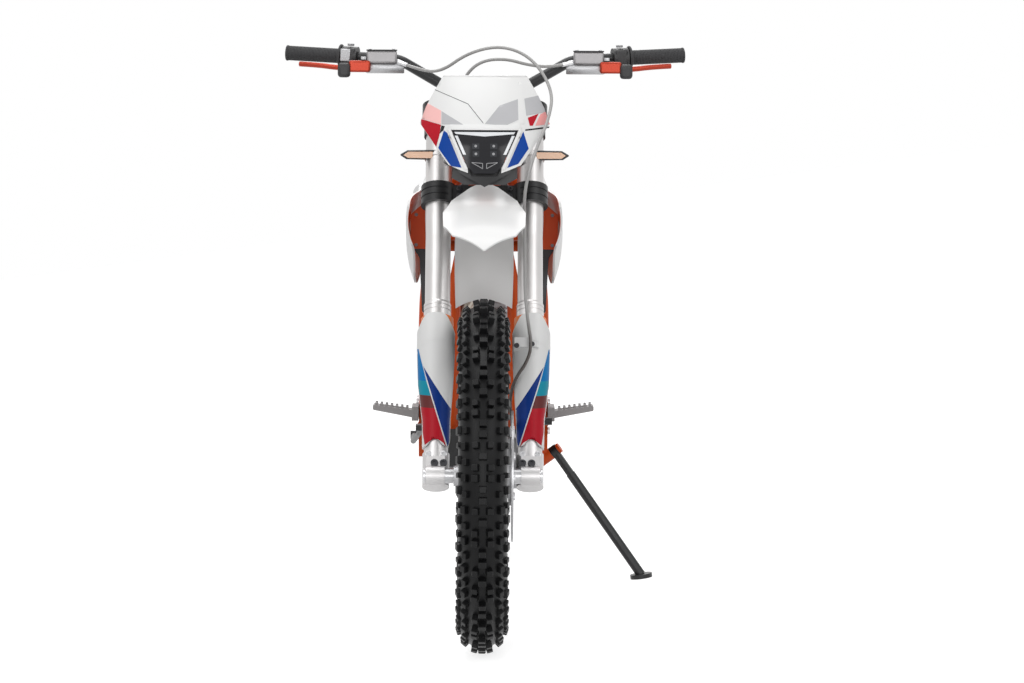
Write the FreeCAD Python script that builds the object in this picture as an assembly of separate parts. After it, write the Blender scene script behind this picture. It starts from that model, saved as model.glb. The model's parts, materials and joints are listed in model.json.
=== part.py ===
"""A motocross bike for the road and the track, leaning on its side stand.

Millimetres and degrees. The bike is modelled upright, nose towards -Y, its left side towards +X and
the ground at z = 0, and only at the end is it leaned over onto its stand.
"""
import FreeCAD, Part
import math
import os

V = FreeCAD.Vector

# Stance
wheelbase = 1480.0
rake = 26.5
trail = 110.0
park_lean = 8.0

# Front wheel
front_radius = 350.0
front_width = 104.0
front_bead = 267.0
front_rim_width = 56.0
front_axle_radius = 11.0
axle_hollow = 6.0
front_disc_radius = 130.0
front_disc_offset = 58.0
front_hub_left = 61.0
front_hub_right = -58.0
axle_lug_inner = 18.0
axle_lug_outer = 19.0

# Rear wheel
rear_radius = 340.0
rear_width = 124.0
rear_bead = 229.0
rear_rim_width = 64.0
rear_axle_radius = 12.0
rear_disc_radius = 110.0
rear_disc_offset = 68.0

# Tread
knob_height = 12.0
knob_root = 4.0

# Spokes
spoke_radius = 2.1
spokes_per_side = 18

# Fork, measured along the steering axis from the ground and ahead of that axis
leg_spacing = 187.0
leg_offset = 22.0
axle_offset = 57.7
leg_radius = 24.0
outer_tube_radius = 25.5
upper_tube_radius = 27.0
tube_bottom = 712.0
tube_top = 1196.0
lower_clamp_at = 962.0
lower_clamp_height = 42.0
upper_clamp_at = 1160.0
upper_clamp_height = 28.0
stem_radius = 14.0
guard_radius = 38.5
guard_wall = 3.0
fender_wall = 3.0
guard_shift = 2.5
hose_clamp_at = 645.0
hose_radius = 3.2
hose_bend = 1000.0
guard_bottom = 421.0
guard_top = 712.0

# Handlebar
bar_half_width = 412.0
bar_radius = 11.1
bar_centre_radius = 14.3
grip_radius = 16.5
grip_length = 118.0

# Frame
head_tube_radius = 30.0
head_tube_wall = 4.0
down_tube_radius = 14.0
spar_radius = 13.5
rail_radius = 10.0
pivot_plate_inner = 128.0
pivot_plate_wall = 12.0
pivot_y = 130.0
pivot_z = 420.0
swingarm_half_width = 125.0
swingarm_wall = 30.0

# Rear shock
shock_x = -25.0
shock_top_y = 30.0
shock_top_z = 767.0

# Drive
chain_pitch = 15.875
front_teeth = 14
rear_teeth = 48
chain_line = 78.0
sprocket_thickness = 6.0
sprocket_y = 60.0
sprocket_z = 430.0

# Side stand
stand_pivot = (156.0, 84.0, 318.0)
stand_reach = 150.0
stand_forward = 45.0
stand_radius = 10.0
stand_foot_radius = 24.0
stand_foot_height = 9.0

# Fits
bearing_gap = 0.05
running_gap = 0.4
seat_gap = 0.3
pad_gap = 1.0

front_axle_y = -wheelbase / 2
rear_axle_y = wheelbase / 2
rear_disc_x = -rear_disc_offset


def rod(start, end, radius):
    """A round bar between two points."""
    a, b = V(*start), V(*end)
    return Part.makeCylinder(radius, (b - a).Length, a, b - a)


def across(y, z, x0, x1, radius):
    """A round bar along X."""
    return rod((x0, y, z), (x1, y, z), radius)


def box(x0, x1, y0, y1, z0, z1):
    """A block between two corners."""
    return Part.makeBox(x1 - x0, y1 - y0, z1 - z0, V(x0, y0, z0))


def join(shapes):
    """One solid out of several that overlap."""
    return shapes[0].multiFuse(shapes[1:]).removeSplitter()


def together(shapes):
    """Several solids that stay apart in one piece."""
    return Part.makeCompound([solid for shape in shapes for solid in shape.Solids])


def mirrored(shape):
    """The same piece on the bike's other side."""
    return shape.mirror(V(0, 0, 0), V(1, 0, 0))


def pair(shape):
    """A piece and its mirror image."""
    return together([shape, mirrored(shape)])


def corner(a, b, c, bend):
    """The arc that rounds corner b between a and c, as start, middle and end points."""
    u = (a - b).normalize()
    w = (c - b).normalize()
    half_turn = (math.pi - u.getAngle(w)) / 2
    reach = min(bend * math.tan(half_turn), 0.45 * min((a - b).Length, (c - b).Length))
    radius = reach / math.tan(half_turn)
    middle = b + (u + w).normalize() * (radius / math.cos(half_turn) - radius)
    return b + u * reach, middle, b + w * reach, radius


def route(points, bend):
    """Straight runs joined by tangent arcs."""
    points = [V(*p) for p in points]
    edges = []
    start = points[0]
    for a, b, c in zip(points, points[1:], points[2:]):
        p, middle, q, radius = corner(a, b, c, bend)
        edges.append(Part.LineSegment(start, p).toShape())
        edges.append(Part.Arc(p, middle, q).toShape())
        start = q
    edges.append(Part.LineSegment(start, points[-1]).toShape())
    return Part.Wire(edges)


def pipe(points, radius, bend):
    """A round tube, filled, along a bent route."""
    path = route(points, bend)
    first = path.Edges[0]
    at = first.valueAt(first.FirstParameter)
    circle = Part.makeCircle(radius, at, first.tangentAt(first.FirstParameter))
    return path.makePipeShell([Part.Wire(circle)], True, False)


def outline(points, bend):
    """A closed flat outline with rounded corners."""
    points = [V(*p) for p in points]
    count = len(points)
    corners = [corner(points[i - 1], points[i], points[(i + 1) % count], bend) for i in range(count)]
    edges = []
    for i, (p, middle, q, radius) in enumerate(corners):
        edges.append(Part.Arc(p, middle, q).toShape())
        following = corners[(i + 1) % count][0]
        if (following - q).Length > 0.01:
            edges.append(Part.LineSegment(q, following).toShape())
    return Part.Wire(edges)


def plate_yz(points, x0, x1, bend):
    """A plate seen from the side: an outline of (y, z) points between two x values."""
    wire = outline([(x0, y, z) for y, z in points], bend)
    return Part.Face(wire).extrude(V(x1 - x0, 0, 0))


def plate_xz(points, y0, y1, bend):
    """A plate seen from the front: an outline of (x, z) points between two y values."""
    wire = outline([(x, y0, z) for x, z in points], bend)
    return Part.Face(wire).extrude(V(0, y1 - y0, 0))


def plate_xy(points, z0, z1, bend):
    """A plate seen from above: an outline of (x, y) points between two z values."""
    wire = outline([(x, y, z0) for x, y in points], bend)
    return Part.Face(wire).extrude(V(0, 0, z1 - z0))


def revolved(profile, y=0.0, z=0.0):
    """A ring about an axle along X, from (x, r) points."""
    wire = Part.makePolygon([V(x, 0, r) for x, r in profile + profile[:1]])
    ring = Part.Face(wire).revolve(V(0, 0, 0), V(1, 0, 0), 360)
    return ring.translated(V(0, y, z))


def rounded_section(x, y, z, half_x, half_z, bend):
    """A rounded rectangle across the bike, for lofts along Y."""
    points = [(x - half_x, y, z - half_z), (x + half_x, y, z - half_z),
              (x + half_x, y, z + half_z), (x - half_x, y, z + half_z)]
    return outline(points, min(bend, 0.8 * half_x, 0.8 * half_z))


def body_along_y(sections, bend, ruled=False):
    """A rounded body through sections of (x, y, z, half_x, half_z)."""
    return Part.makeLoft([rounded_section(*s, bend) for s in sections], True, ruled)


def arch_section(y, z, half, drop, wall):
    """The cross-section of an arched sheet: an arc, its inner arc and two edges."""
    outer = [V(-half, y, z - drop), V(0, y, z), V(half, y, z - drop)]
    inner = [p - V(0, 0, wall) for p in outer]
    return Part.Wire([Part.Arc(*outer).toShape(),
                      Part.LineSegment(outer[2], inner[2]).toShape(),
                      Part.Arc(inner[2], inner[1], inner[0]).toShape(),
                      Part.LineSegment(inner[0], outer[0]).toShape()])


def arched_sheet(sections, wall, ruled=False):
    """A mudguard-like sheet through sections of (y, z, half width, drop at the sides)."""
    return Part.makeLoft([arch_section(*s, wall) for s in sections], True, ruled)


def on_fork(shape):
    """From fork coordinates (Z along the steering axis, -Y ahead) into place."""
    placed = shape.copy()
    placed.rotate(V(0, 0, 0), V(1, 0, 0), -rake)
    placed.translate(V(0, front_axle_y - trail, 0))
    return placed


def fork_point(x, ahead, along):
    """A point given across, ahead of and along the steering axis, in bike coordinates."""
    angle = math.radians(rake)
    y = front_axle_y - trail + along * math.sin(angle) - ahead * math.cos(angle)
    return (x, y, along * math.cos(angle) + ahead * math.sin(angle))


axle_along = (front_radius - axle_offset * math.sin(math.radians(rake))) / math.cos(math.radians(rake))
leg_x = leg_spacing / 2


def knob(crown, radius, turn, lean, length, width, height):
    """One tread block, leaned over the crown and turned round the axle."""
    block = Part.makeBox(width, length, height + knob_root, V(-width / 2, -length / 2, crown - knob_root))
    block.rotate(V(0, 0, 0), V(0, 1, 0), lean)
    block.translate(V(0, 0, radius - crown))
    block.rotate(V(0, 0, 0), V(1, 0, 0), turn)
    return block


def tyre(radius, width, bead, rim_width, units, layout):
    """A knobbly tyre about the X axis, its blocks fused to the carcass."""
    carcass = radius - knob_height
    crown = width / 2 - 5.0
    bend = [math.radians(a) for a in (0, 22, 45, 68, 90)]
    shoulder = [(crown * math.sin(a), carcass - crown + crown * math.cos(a)) for a in bend]
    seat = rim_width / 2 - 3.0
    half = shoulder + [(0.92 * crown, bead + 22.0), (seat, bead + 9.0), (seat, bead)]
    profile = half + [(-x, r) for x, r in reversed(half[1:])]
    blocks = []
    for i in range(units):
        for part, lean, length, wide, height in layout:
            turn = 360.0 * (i + part) / units
            for side in ((1, -1) if lean else (1,)):
                blocks.append(knob(crown, carcass, turn, side * lean, length, wide, height))
    return revolved(profile).multiFuse(blocks)


def front_tyre():
    layout = [(0.0, 16, 15, 14, 12.0), (0.34, 0, 15, 17, 12.0), (0.67, 0, 15, 17, 12.0),
              (0.5, 44, 17, 13, 9.0), (0.2, 72, 18, 15, 6.0)]
    return tyre(front_radius, front_width, front_bead, front_rim_width, 17, layout)


def rear_tyre():
    layout = [(0.0, 20, 17, 20, 12.0), (0.5, 0, 17, 24, 12.0),
              (0.5, 44, 20, 16, 10.0), (0.0, 70, 22, 17, 6.5)]
    return tyre(rear_radius, rear_width, rear_bead, rear_rim_width, 16, layout)


def rim(bead, width):
    """A spoked wheel's rim, with flanges that hold the beads."""
    half = width / 2
    profile = [(half, bead + 9), (half, bead - 5), (0.5 * half, bead - 13), (-0.5 * half, bead - 13),
               (-half, bead - 5), (-half, bead + 9), (-half + 3, bead + 9), (-half + 3, bead),
               (half - 3, bead), (half - 3, bead + 9)]
    return revolved(profile)


def stick(start, end, radius, sides=6):
    """A wire with few faces between two points."""
    a, b = V(*start), V(*end)
    along = (b - a).normalize()
    first = along.cross(V(1, 0.3, 0.2)).normalize()
    second = along.cross(first)
    ring = []
    for i in range(sides):
        turn = 2 * math.pi * i / sides
        ring.append(a + first * (radius * math.cos(turn)) + second * (radius * math.sin(turn)))
    wire = Part.makePolygon(ring + ring[:1])
    return Part.Face(wire).extrude(V(*end) - a)


def spokes(flange_x, flange_radius, rim_radius):
    """Crossed spokes from both hub flanges to the rim."""
    wires = []
    for side in (1, -1):
        for i in range(spokes_per_side):
            start = math.radians(360.0 * (i + (0.25 if side > 0 else -0.25)) / spokes_per_side)
            swing = math.radians(34.0 if i % 2 else -34.0)
            inner = (side * flange_x, flange_radius * math.cos(start), flange_radius * math.sin(start))
            end = start + swing
            outer = (side * 4.0, rim_radius * math.cos(end), rim_radius * math.sin(end))
            wires.append(stick(inner, outer, spoke_radius))
    return wires


def hub(profile, flange_x, flange_radius, bead):
    """A hub with its spokes."""
    rim_inside = bead - 13.0 - 3 * seat_gap
    return join([revolved(profile)] + spokes(flange_x, flange_radius, rim_inside))


def front_hub():
    bore = front_axle_radius + bearing_gap
    seat = front_disc_offset - 2.0
    profile = [(front_hub_right, bore), (front_hub_right, 20), (-38, 22), (-37, 40), (-31, 40), (-28, 24), (28, 24), (31, 40),
               (37, 40), (38, 30), (seat - 6, 34), (seat - 6, 58), (seat, 58), (seat, 20),
               (front_hub_left, 20), (front_hub_left, bore)]
    return hub(profile, 34.0, 36.0, front_bead)


def rear_hub():
    bore = rear_axle_radius + bearing_gap
    disc_seat = rear_disc_x + 2.0
    carrier = chain_line - sprocket_thickness / 2
    profile = [(disc_seat - 10, bore), (disc_seat - 10, 26), (disc_seat, 26), (disc_seat, 50),
               (disc_seat + 6, 50), (disc_seat + 8, 32), (-39, 46), (-33, 46), (-30, 30), (30, 30),
               (33, 46), (39, 46), (42, 34), (carrier - 8, 40), (carrier - 8, 66), (carrier, 66),
               (carrier, 26), (carrier + 14, 26), (carrier + 14, bore)]
    return hub(profile, 36.0, 41.0, rear_bead)


def brake_disc(radius, bore, x, bolt_circle):
    """A flat brake disc with lightening windows and drilled holes."""
    disc = across(0, 0, x - 2.0, x + 2.0, radius).cut(across(0, 0, x - 3.0, x + 3.0, bore))
    cuts = []
    ring = (radius + bolt_circle) / 2 - 4.0
    for i in range(8):
        turn = 2 * math.pi * i / 8
        cuts.append(across(ring * math.cos(turn), ring * math.sin(turn), x - 3, x + 3, 0.36 * (radius - bolt_circle)))
    return disc.cut(cuts)


def sprocket(teeth, bore, window_ring, window_radius):
    """A toothed sprocket about X, with windows when it is a large one."""
    pitch_radius = chain_pitch / 2 / math.sin(math.pi / teeth)
    points = []
    for i in range(teeth):
        for part, rise in ((-0.27, -13.0), (-0.12, -8.2), (0.12, -8.2), (0.27, -13.0)):
            turn = 2 * math.pi * (i + part) / teeth
            points.append(V(0, (pitch_radius + rise) * math.cos(turn), (pitch_radius + rise) * math.sin(turn)))
    x0 = chain_line - sprocket_thickness / 2
    blank = Part.Face(Part.makePolygon(points + points[:1])).extrude(V(sprocket_thickness, 0, 0))
    blank.translate(V(x0, 0, 0))
    cuts = [across(0, 0, x0 - 1, x0 + sprocket_thickness + 1, bore)]
    for i in range(6 if window_ring else 0):
        turn = 2 * math.pi * (i + 0.5) / 6
        cuts.append(across(window_ring * math.cos(turn), window_ring * math.sin(turn),
                           x0 - 1, x0 + sprocket_thickness + 1, window_radius))
    return blank.cut(cuts)


def at_front_axle(shape):
    return shape.translated(V(0, front_axle_y, front_radius))


def at_rear_axle(shape):
    return shape.translated(V(0, rear_axle_y, rear_radius))


def triple_clamps():
    """Both clamps on one stem, with the handlebar's risers."""
    solids = []
    for bottom, height, collar in ((lower_clamp_at, lower_clamp_height, 9.0),
                                   (upper_clamp_at, upper_clamp_height, 8.0)):
        top = bottom + height
        reach = upper_tube_radius + collar
        web = plate_xy([(-leg_x, -leg_offset - 20), (leg_x, -leg_offset - 20), (leg_x, -leg_offset + 8),
                        (26, 18), (-26, 18), (-leg_x, -leg_offset + 8)], bottom + 4, top - 4, 10)
        solids += [web] + [rod((x, -leg_offset, bottom), (x, -leg_offset, top), reach) for x in (leg_x, -leg_x)]
    stem_top = upper_clamp_at + upper_clamp_height
    solids.append(rod((0, 0, lower_clamp_at), (0, 0, stem_top), stem_radius))
    bearing = head_tube_radius - head_tube_wall - bearing_gap
    head_bottom = lower_clamp_at + lower_clamp_height + 2.0
    head_top = upper_clamp_at - 2.0
    solids.append(rod((0, 0, head_bottom), (0, 0, head_bottom + 12), bearing))
    solids.append(rod((0, 0, head_top - 12), (0, 0, head_top), bearing))
    for x in (45, -45):
        solids.append(box(x - 15, x + 15, -36, 4, stem_top - 2, stem_top + 62))
    clamps = join(solids)
    ribs = []
    for x in (leg_x, -leg_x):
        for rise in (13.0, 27.0):
            ring = rod((x, -leg_offset, lower_clamp_at + rise), (x, -leg_offset, lower_clamp_at + rise + 2.5), 60)
            ring = ring.cut(rod((x, -leg_offset, 900), (x, -leg_offset, 1100), upper_tube_radius + 7.5))
            ribs.append(ring.cut(box(-leg_x + 20, leg_x - 20, -200, 200, 900, 1100)))
    tubes = [rod((x, -leg_offset, lower_clamp_at - 50), (x, -leg_offset, tube_top + 50), upper_tube_radius)
             for x in (leg_x, -leg_x)]
    return on_fork(clamps.cut(tubes + ribs)).cut(across(*bar_centre(), -80, 80, bar_centre_radius))


def bar_centre():
    """The handlebar's middle, as (y, z)."""
    at = fork_point(0, 16.0, upper_clamp_at + upper_clamp_height + 40.0)
    return at[1], at[2]


def fork_tubes():
    """The upper tubes of the fork, thicker where the clamps hold them."""
    tubes = []
    for x in (leg_x, -leg_x):
        outside = [(0, tube_bottom), (outer_tube_radius + 2, tube_bottom), (outer_tube_radius + 2, tube_bottom + 30),
                   (outer_tube_radius, tube_bottom + 34), (outer_tube_radius, lower_clamp_at - 70),
                   (upper_tube_radius, lower_clamp_at - 30), (upper_tube_radius, tube_top - 3),
                   (upper_tube_radius - 3, tube_top), (0, tube_top)]
        wire = Part.makePolygon([V(r, 0, z) for r, z in outside + outside[:1]])
        tube = Part.Face(wire).revolve(V(0, 0, 0), V(0, 0, 1), 360)
        bore = rod((0, 0, tube_bottom - 1), (0, 0, tube_top - 12), leg_radius + running_gap)
        grooves = [rod((0, 0, tube_bottom + z), (0, 0, tube_bottom + z + 2), outer_tube_radius + 4).cut(
            rod((0, 0, tube_bottom + z), (0, 0, tube_bottom + z + 2), outer_tube_radius + 1)) for z in (14, 23)]
        tubes.append(tube.cut([bore] + grooves).translated(V(x, -leg_offset, 0)))
    return on_fork(together(tubes))


def fork_wipers():
    """The bright rings that seal the upper tubes."""
    rings = []
    for x in (leg_x, -leg_x):
        ring = rod((x, -leg_offset, tube_bottom - 24), (x, -leg_offset, tube_bottom), guard_radius - guard_wall - 3)
        rings.append(ring.cut(rod((x, -leg_offset, tube_bottom - 25), (x, -leg_offset, tube_bottom + 1), leg_radius)))
    return on_fork(together(rings))


def fork_foot(holds_caliper):
    """A cast foot: a socket for the leg, a boss ahead of it for the axle and a pinch block."""
    bottom = axle_along - 11.0
    top = guard_bottom - seat_gap
    ahead = axle_offset
    solids = [rod((leg_x, -leg_offset, bottom), (leg_x, -leg_offset, top), leg_radius + 3.0),
              rod((leg_x - axle_lug_inner, -ahead, axle_along), (leg_x + axle_lug_outer, -ahead, axle_along), front_axle_radius + 9.0),
              box(leg_x - axle_lug_inner, leg_x + axle_lug_outer, -ahead, -leg_offset, axle_along - 17, axle_along + 17),
              box(leg_x - axle_lug_inner, leg_x + axle_lug_outer, -ahead - 6, -leg_offset - 10, axle_along + 10, axle_along + 40)]
    if holds_caliper:
        solids.append(box(leg_x - 24, leg_x - 8, -leg_offset + 4, -leg_offset + 36, axle_along + 30, axle_along + 66))
    recess = rod((leg_x, -leg_offset, bottom - 1), (leg_x, -leg_offset, bottom + 9), 13.0)
    return join(solids).cut(recess)


def fork_legs():
    """The lower tubes of the fork with their cast feet."""
    leg = rod((leg_x, -leg_offset, axle_along + 10), (leg_x, -leg_offset, tube_bottom + 260), leg_radius)
    bore = rod((leg_x - 60, -axle_offset, axle_along), (leg_x + 60, -axle_offset, axle_along),
               front_axle_radius + bearing_gap)
    left = join([leg, fork_foot(True)]).cut(bore)
    right = mirrored(join([leg, fork_foot(False)]).cut(bore))
    return on_fork(together([left, right]))


def guard_section(along, radius, shift):
    """A C-shaped section of the fork guard, open towards the back."""
    wires = []
    for r in (radius, radius - guard_wall):
        middle = leg_x + shift
        ends = [V(middle + side * r * 0.985, -leg_offset + 0.17 * r, along) for side in (-1, 1)]
        wires.append((ends[0], V(middle, -leg_offset - r, along), ends[1]))
    outer, inner = wires
    return Part.Wire([Part.Arc(*outer).toShape(), Part.LineSegment(outer[2], inner[2]).toShape(),
                      Part.Arc(inner[2], inner[1], inner[0]).toShape(),
                      Part.LineSegment(inner[0], outer[0]).toShape()])


def fork_guards():
    """Plastic half shells ahead of the fork legs, arched at the top and at the tip."""
    span = guard_top - guard_bottom
    narrow = leg_radius + guard_wall + 2 * seat_gap
    sections = [(guard_bottom, narrow, 0.0), (guard_bottom + 0.25 * span, narrow + 1.0, 0.3),
                (guard_bottom + 0.5 * span, guard_radius - 3.0, guard_shift),
                (guard_bottom + 0.72 * span, guard_radius - 0.3, guard_shift), (guard_top, guard_radius, guard_shift)]
    shell = Part.makeLoft([guard_section(*s) for s in sections], True, True)
    reach = guard_radius + 1
    foot = 0.62 * guard_radius
    middle = leg_x + guard_shift
    front = plate_xz([(middle - foot, guard_bottom - 2), (middle, guard_bottom + 34), (middle + foot, guard_bottom - 2),
                      (middle + reach, guard_bottom + 0.28 * span), (middle + reach, guard_top - 34),
                      (middle + 0.5 * reach, guard_top), (middle - 0.5 * reach, guard_top),
                      (middle - reach, guard_top - 34), (middle - reach, guard_bottom + 0.28 * span)],
                     -leg_offset - 60, -leg_offset + 60, 18)
    guard = shell.common(front)
    low, high = hose_clamp_at - 10, hose_clamp_at + 10
    block = box(middle - 36, middle + 14, -leg_offset - guard_radius - 7, -leg_offset - 8, low, high)
    inside = rod((middle, -leg_offset, low - 1), (middle, -leg_offset, high + 1), guard_radius - guard_wall)
    clamp = block.makeFillet(3.0, [e for e in block.Edges if abs(e.tangentAt(0).z) > 0.9]).cut(inside)
    return on_fork(together([join([guard, clamp]), mirrored(guard)])).cut(front_brake_hose())


def front_axle():
    """A hollow axle with the spacer on each side of the hub."""
    half = leg_x + axle_lug_outer + 2.0
    lug = leg_x - axle_lug_inner
    axle = across(0, 0, -half, half, front_axle_radius).cut(across(0, 0, -half - 1, half + 1, axle_hollow))
    inside = across(0, 0, -lug - 1, lug + 1, front_axle_radius - 1)
    collars = [across(0, 0, front_hub_left + running_gap, lug, 15), across(0, 0, -lug, front_hub_right - running_gap, 15)]
    return at_front_axle(join([axle] + [collar.cut(inside) for collar in collars]))


def bar_points():
    y, z = bar_centre()
    return [(0, y, z), (70, y, z), (178, y + 12, z + 62), (bar_half_width, y + 62, z + 74)]


def bar_axis(distance):
    """A point on the grip end of the bar, and the bar's direction there."""
    points = [V(*p) for p in bar_points()]
    along = (points[3] - points[2]).normalize()
    return points[3] - along * distance, along


def handlebar():
    half = pipe(bar_points(), bar_radius, 60.0)
    y, z = bar_centre()
    return join([half, mirrored(half), across(y, z, -62, 62, bar_centre_radius)])


def bar_sleeve(near, far, radius, bore):
    """A sleeve on the bar between two distances from its end."""
    end, along = bar_axis(far)
    length = far - near
    return Part.makeCylinder(radius, length, end, along).cut(Part.makeCylinder(bore, length, end, along))


def grips():
    bore = bar_radius
    grip = join([bar_sleeve(0, grip_length, grip_radius, bore),
                 bar_sleeve(grip_length - 5, grip_length, grip_radius + 8, bore),
                 bar_sleeve(0, 4, grip_radius + 4, bore)])
    return pair(grip)


def switchgear():
    """A switch cluster inboard of each grip."""
    cluster = bar_sleeve(grip_length + 2, grip_length + 34, 21.0, bar_radius)
    return pair(cluster)


def lever_perch():
    """Where the lever is held: a point ahead of the bar beside the clusters."""
    at, along = bar_axis(grip_length + 52)
    return at, along


def master_cylinders():
    """The lever perches with their master cylinders and square reservoirs."""
    at, along = lever_perch()
    ahead = V(0, -1, 0)
    clamp = bar_sleeve(grip_length + 38, grip_length + 62, 19.0, bar_radius)
    arm = rod(tuple(at + ahead * 16), tuple(at + ahead * 60 - V(0, 0, 13)), 9.5)
    barrel_start = at + ahead * 40 - V(0, 0, 4)
    barrel = rod(tuple(barrel_start - along * 70), tuple(barrel_start + along * 14), 11.0)
    middle = barrel_start - along * 30
    tank = box(middle.x - 24, middle.x + 24, middle.y - 17, middle.y + 17, middle.z + 4, middle.z + 34)
    tank = tank.makeFillet(5.0, [e for e in tank.Edges if abs(e.tangentAt(0).z) > 0.9])
    return pair(join([clamp, arm, barrel, tank]).cut(
        Part.makeCylinder(bar_radius, 300, bar_axis(250)[0], along)))


def hand_levers():
    """Blades that curve ahead of the grips to a ball at the end."""
    at, along = lever_perch()
    start = at + V(4, -60, -14)
    tip, direction = bar_axis(14)
    points = [tuple(start), tuple(start + V(40, -6, -4)), tuple(bar_axis(90)[0] + V(0, -52, -20)),
              tuple(tip + V(0, -50, -18))]
    blade = pipe(points, 5.5, 40.0)
    ball = Part.makeSphere(8.5, tip + V(0, -50, -18))
    return pair(join([blade, ball])).cut(master_cylinders())


# The mask's surface: (z, y at the middle, y at the sides), and its half width there
mask_stations = ((895.0, -652.0, -548.0), (1000.0, -618.0, -520.0), (1070.0, -578.0, -486.0),
                 (1160.0, -505.0, -428.0))
mask_reach = 150.0
mask_wall = 3.0


def mask_layer(front, back):
    """The space between two depths behind the mask's surface."""
    wires = []
    for z, middle, side in mask_stations:
        outer = [V(-mask_reach, side + front, z), V(0, middle + front, z), V(mask_reach, side + front, z)]
        inner = [V(-mask_reach, side + back, z), V(0, middle + back, z), V(mask_reach, side + back, z)]
        wires.append(Part.Wire([Part.Arc(*outer).toShape(), Part.LineSegment(outer[2], inner[2]).toShape(),
                                Part.Arc(inner[2], inner[1], inner[0]).toShape(),
                                Part.LineSegment(inner[0], outer[0]).toShape()]))
    return Part.makeLoft(wires, True)


def front_view(half, bend):
    """A prism from a half outline of (x, z) points, seen from the front."""
    return plate_xz(half + [(-x, z) for x, z in reversed(half)], -800, -300, bend)


lens_half = [(70, 1018), (33, 957), (26, 938)]


def headlight_mask():
    half = [(84, 1138), (108, 1096), (119, 1074), (131, 1040), (122, 1004), (94, 968), (66, 936), (50, 920)]
    sheet = mask_layer(0, mask_wall).common(front_view(half, 6))
    opening = front_view([(71, 1020), (34, 956), (27, 880)], 4)
    return sheet.cut(opening)


def headlight():
    return mask_layer(1.5, 40).common(front_view(lens_half, 5))


def mask_bracket():
    """The dark carrier behind the mask, held on the fork tubes."""
    behind = mask_wall + seat_gap
    plate = mask_layer(behind, 9).common(front_view([(84, 1112), (90, 1000), (50, 945), (24, 928)], 8))
    vee = front_view([(30, 946), (20, 918), (6, 903)], 3).common(mask_layer(behind, 36))
    lens_hole = front_view([(x + seat_gap, z) for x, z in lens_half], 5)
    parts = [plate, vee]
    for along, end_x, end_z in ((1040.0, 60, 994), (1125.0, 68, 1050)):
        at = fork_point(leg_x, leg_offset, along)
        start = fork_point(leg_x, leg_offset + upper_tube_radius + 2, along)
        arm = pipe([start, (leg_x - 8, at[1] - 80, at[2] + 10), (end_x, at[1] - 240, end_z)], 5.0, 20)
        band = on_fork(rod((leg_x, -leg_offset, along - 8), (leg_x, -leg_offset, along + 8), upper_tube_radius + 4))
        parts += [arm, band, mirrored(arm), mirrored(band)]
    tubes = [on_fork(rod((x, -leg_offset, 900), (x, -leg_offset, tube_top), upper_tube_radius)) for x in (leg_x, -leg_x)]
    return join(parts).cut(tubes + [lens_hole.common(mask_layer(0, 60)), mask_layer(-250, behind)])


# The front mudguard's outline from above: (x, y) from the tip back to the notch under the mask
fender_tip_y = -905.0
fender_notch_y = -520.0
fender_outline = [(0, fender_tip_y), (62, -862), (80, -800), (82, -700), (66, -600), (28, fender_notch_y - 26)]


def fender_front():
    """The front mudguard: a blade ahead of the fork and a narrow rear part between its legs."""
    sheet = arched_sheet([(-915, 790, 80, 6), (-862, 836, 84, 8), (-800, 858, 86, 13), (-700, 882, 88, 16),
                          (-600, 899, 88, 20), (-540, 917, 88, 24), (-490, 930, 88, 26)], fender_wall)
    edge = fender_outline + [(0, fender_notch_y)] + [(-x, y) for x, y in reversed(fender_outline[1:])]
    blade = sheet.common(plate_xy(edge, 600, 1000, 6))
    rear = arched_sheet([(-540, 850, 56, 14), (-480, 842, 58, 18), (-430, 812, 60, 20), (-404, 745, 60, 20),
                         (-398, 680, 58, 18)], fender_wall)
    web = box(-18, 18, -572, -530, 846, 906)
    bosses = [on_fork(rod((x, -12, lower_clamp_at - 58), (x, -12, lower_clamp_at + 4), 8)) for x in (-24, 24)]
    return join([blade, rear, web] + bosses)


def front_indicators():
    """Slim indicators on stalks that the fork tubes hold."""
    at = fork_point(leg_x + upper_tube_radius, leg_offset, 1066.0)
    stalk = rod((at[0] - 1, at[1], at[2]), (at[0] + 12, at[1], at[2]), 5.0)
    lamp = body_lamp(at[0] + 10, at[0] + 56, at[1], at[2])
    return pair(join([stalk, lamp]).cut(on_fork(
        rod((leg_x, -leg_offset, 900), (leg_x, -leg_offset, 1190), upper_tube_radius))))


def body_lamp(x0, x1, y, z):
    """A slim tapered lamp body that points out to the side."""
    wires = []
    for x, half_y, half_z in ((x0, 6, 5), (x0 + 12, 10, 8), (x1, 9, 6)):
        points = [(x, y - half_y, z - half_z), (x, y + half_y, z - half_z), (x, y + half_y, z + half_z),
                  (x, y - half_y, z + half_z)]
        wires.append(outline(points, 3))
    return Part.makeLoft(wires, True)


def front_caliper():
    """The caliper behind the left fork leg, with a slot for the disc."""
    points = [(8, 392), (8, 470), (34, 480), (64, 440), (68, 392), (40, 370)]
    block = plate_yz(points, front_disc_offset - 25, front_disc_offset + 25, 12)
    block = on_fork(block)
    gap = across(front_axle_y, front_radius, front_disc_offset - 2 - pad_gap, front_disc_offset + 2 + pad_gap,
                 front_disc_radius + 5)
    return block.cut([gap, fork_legs()])


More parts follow.
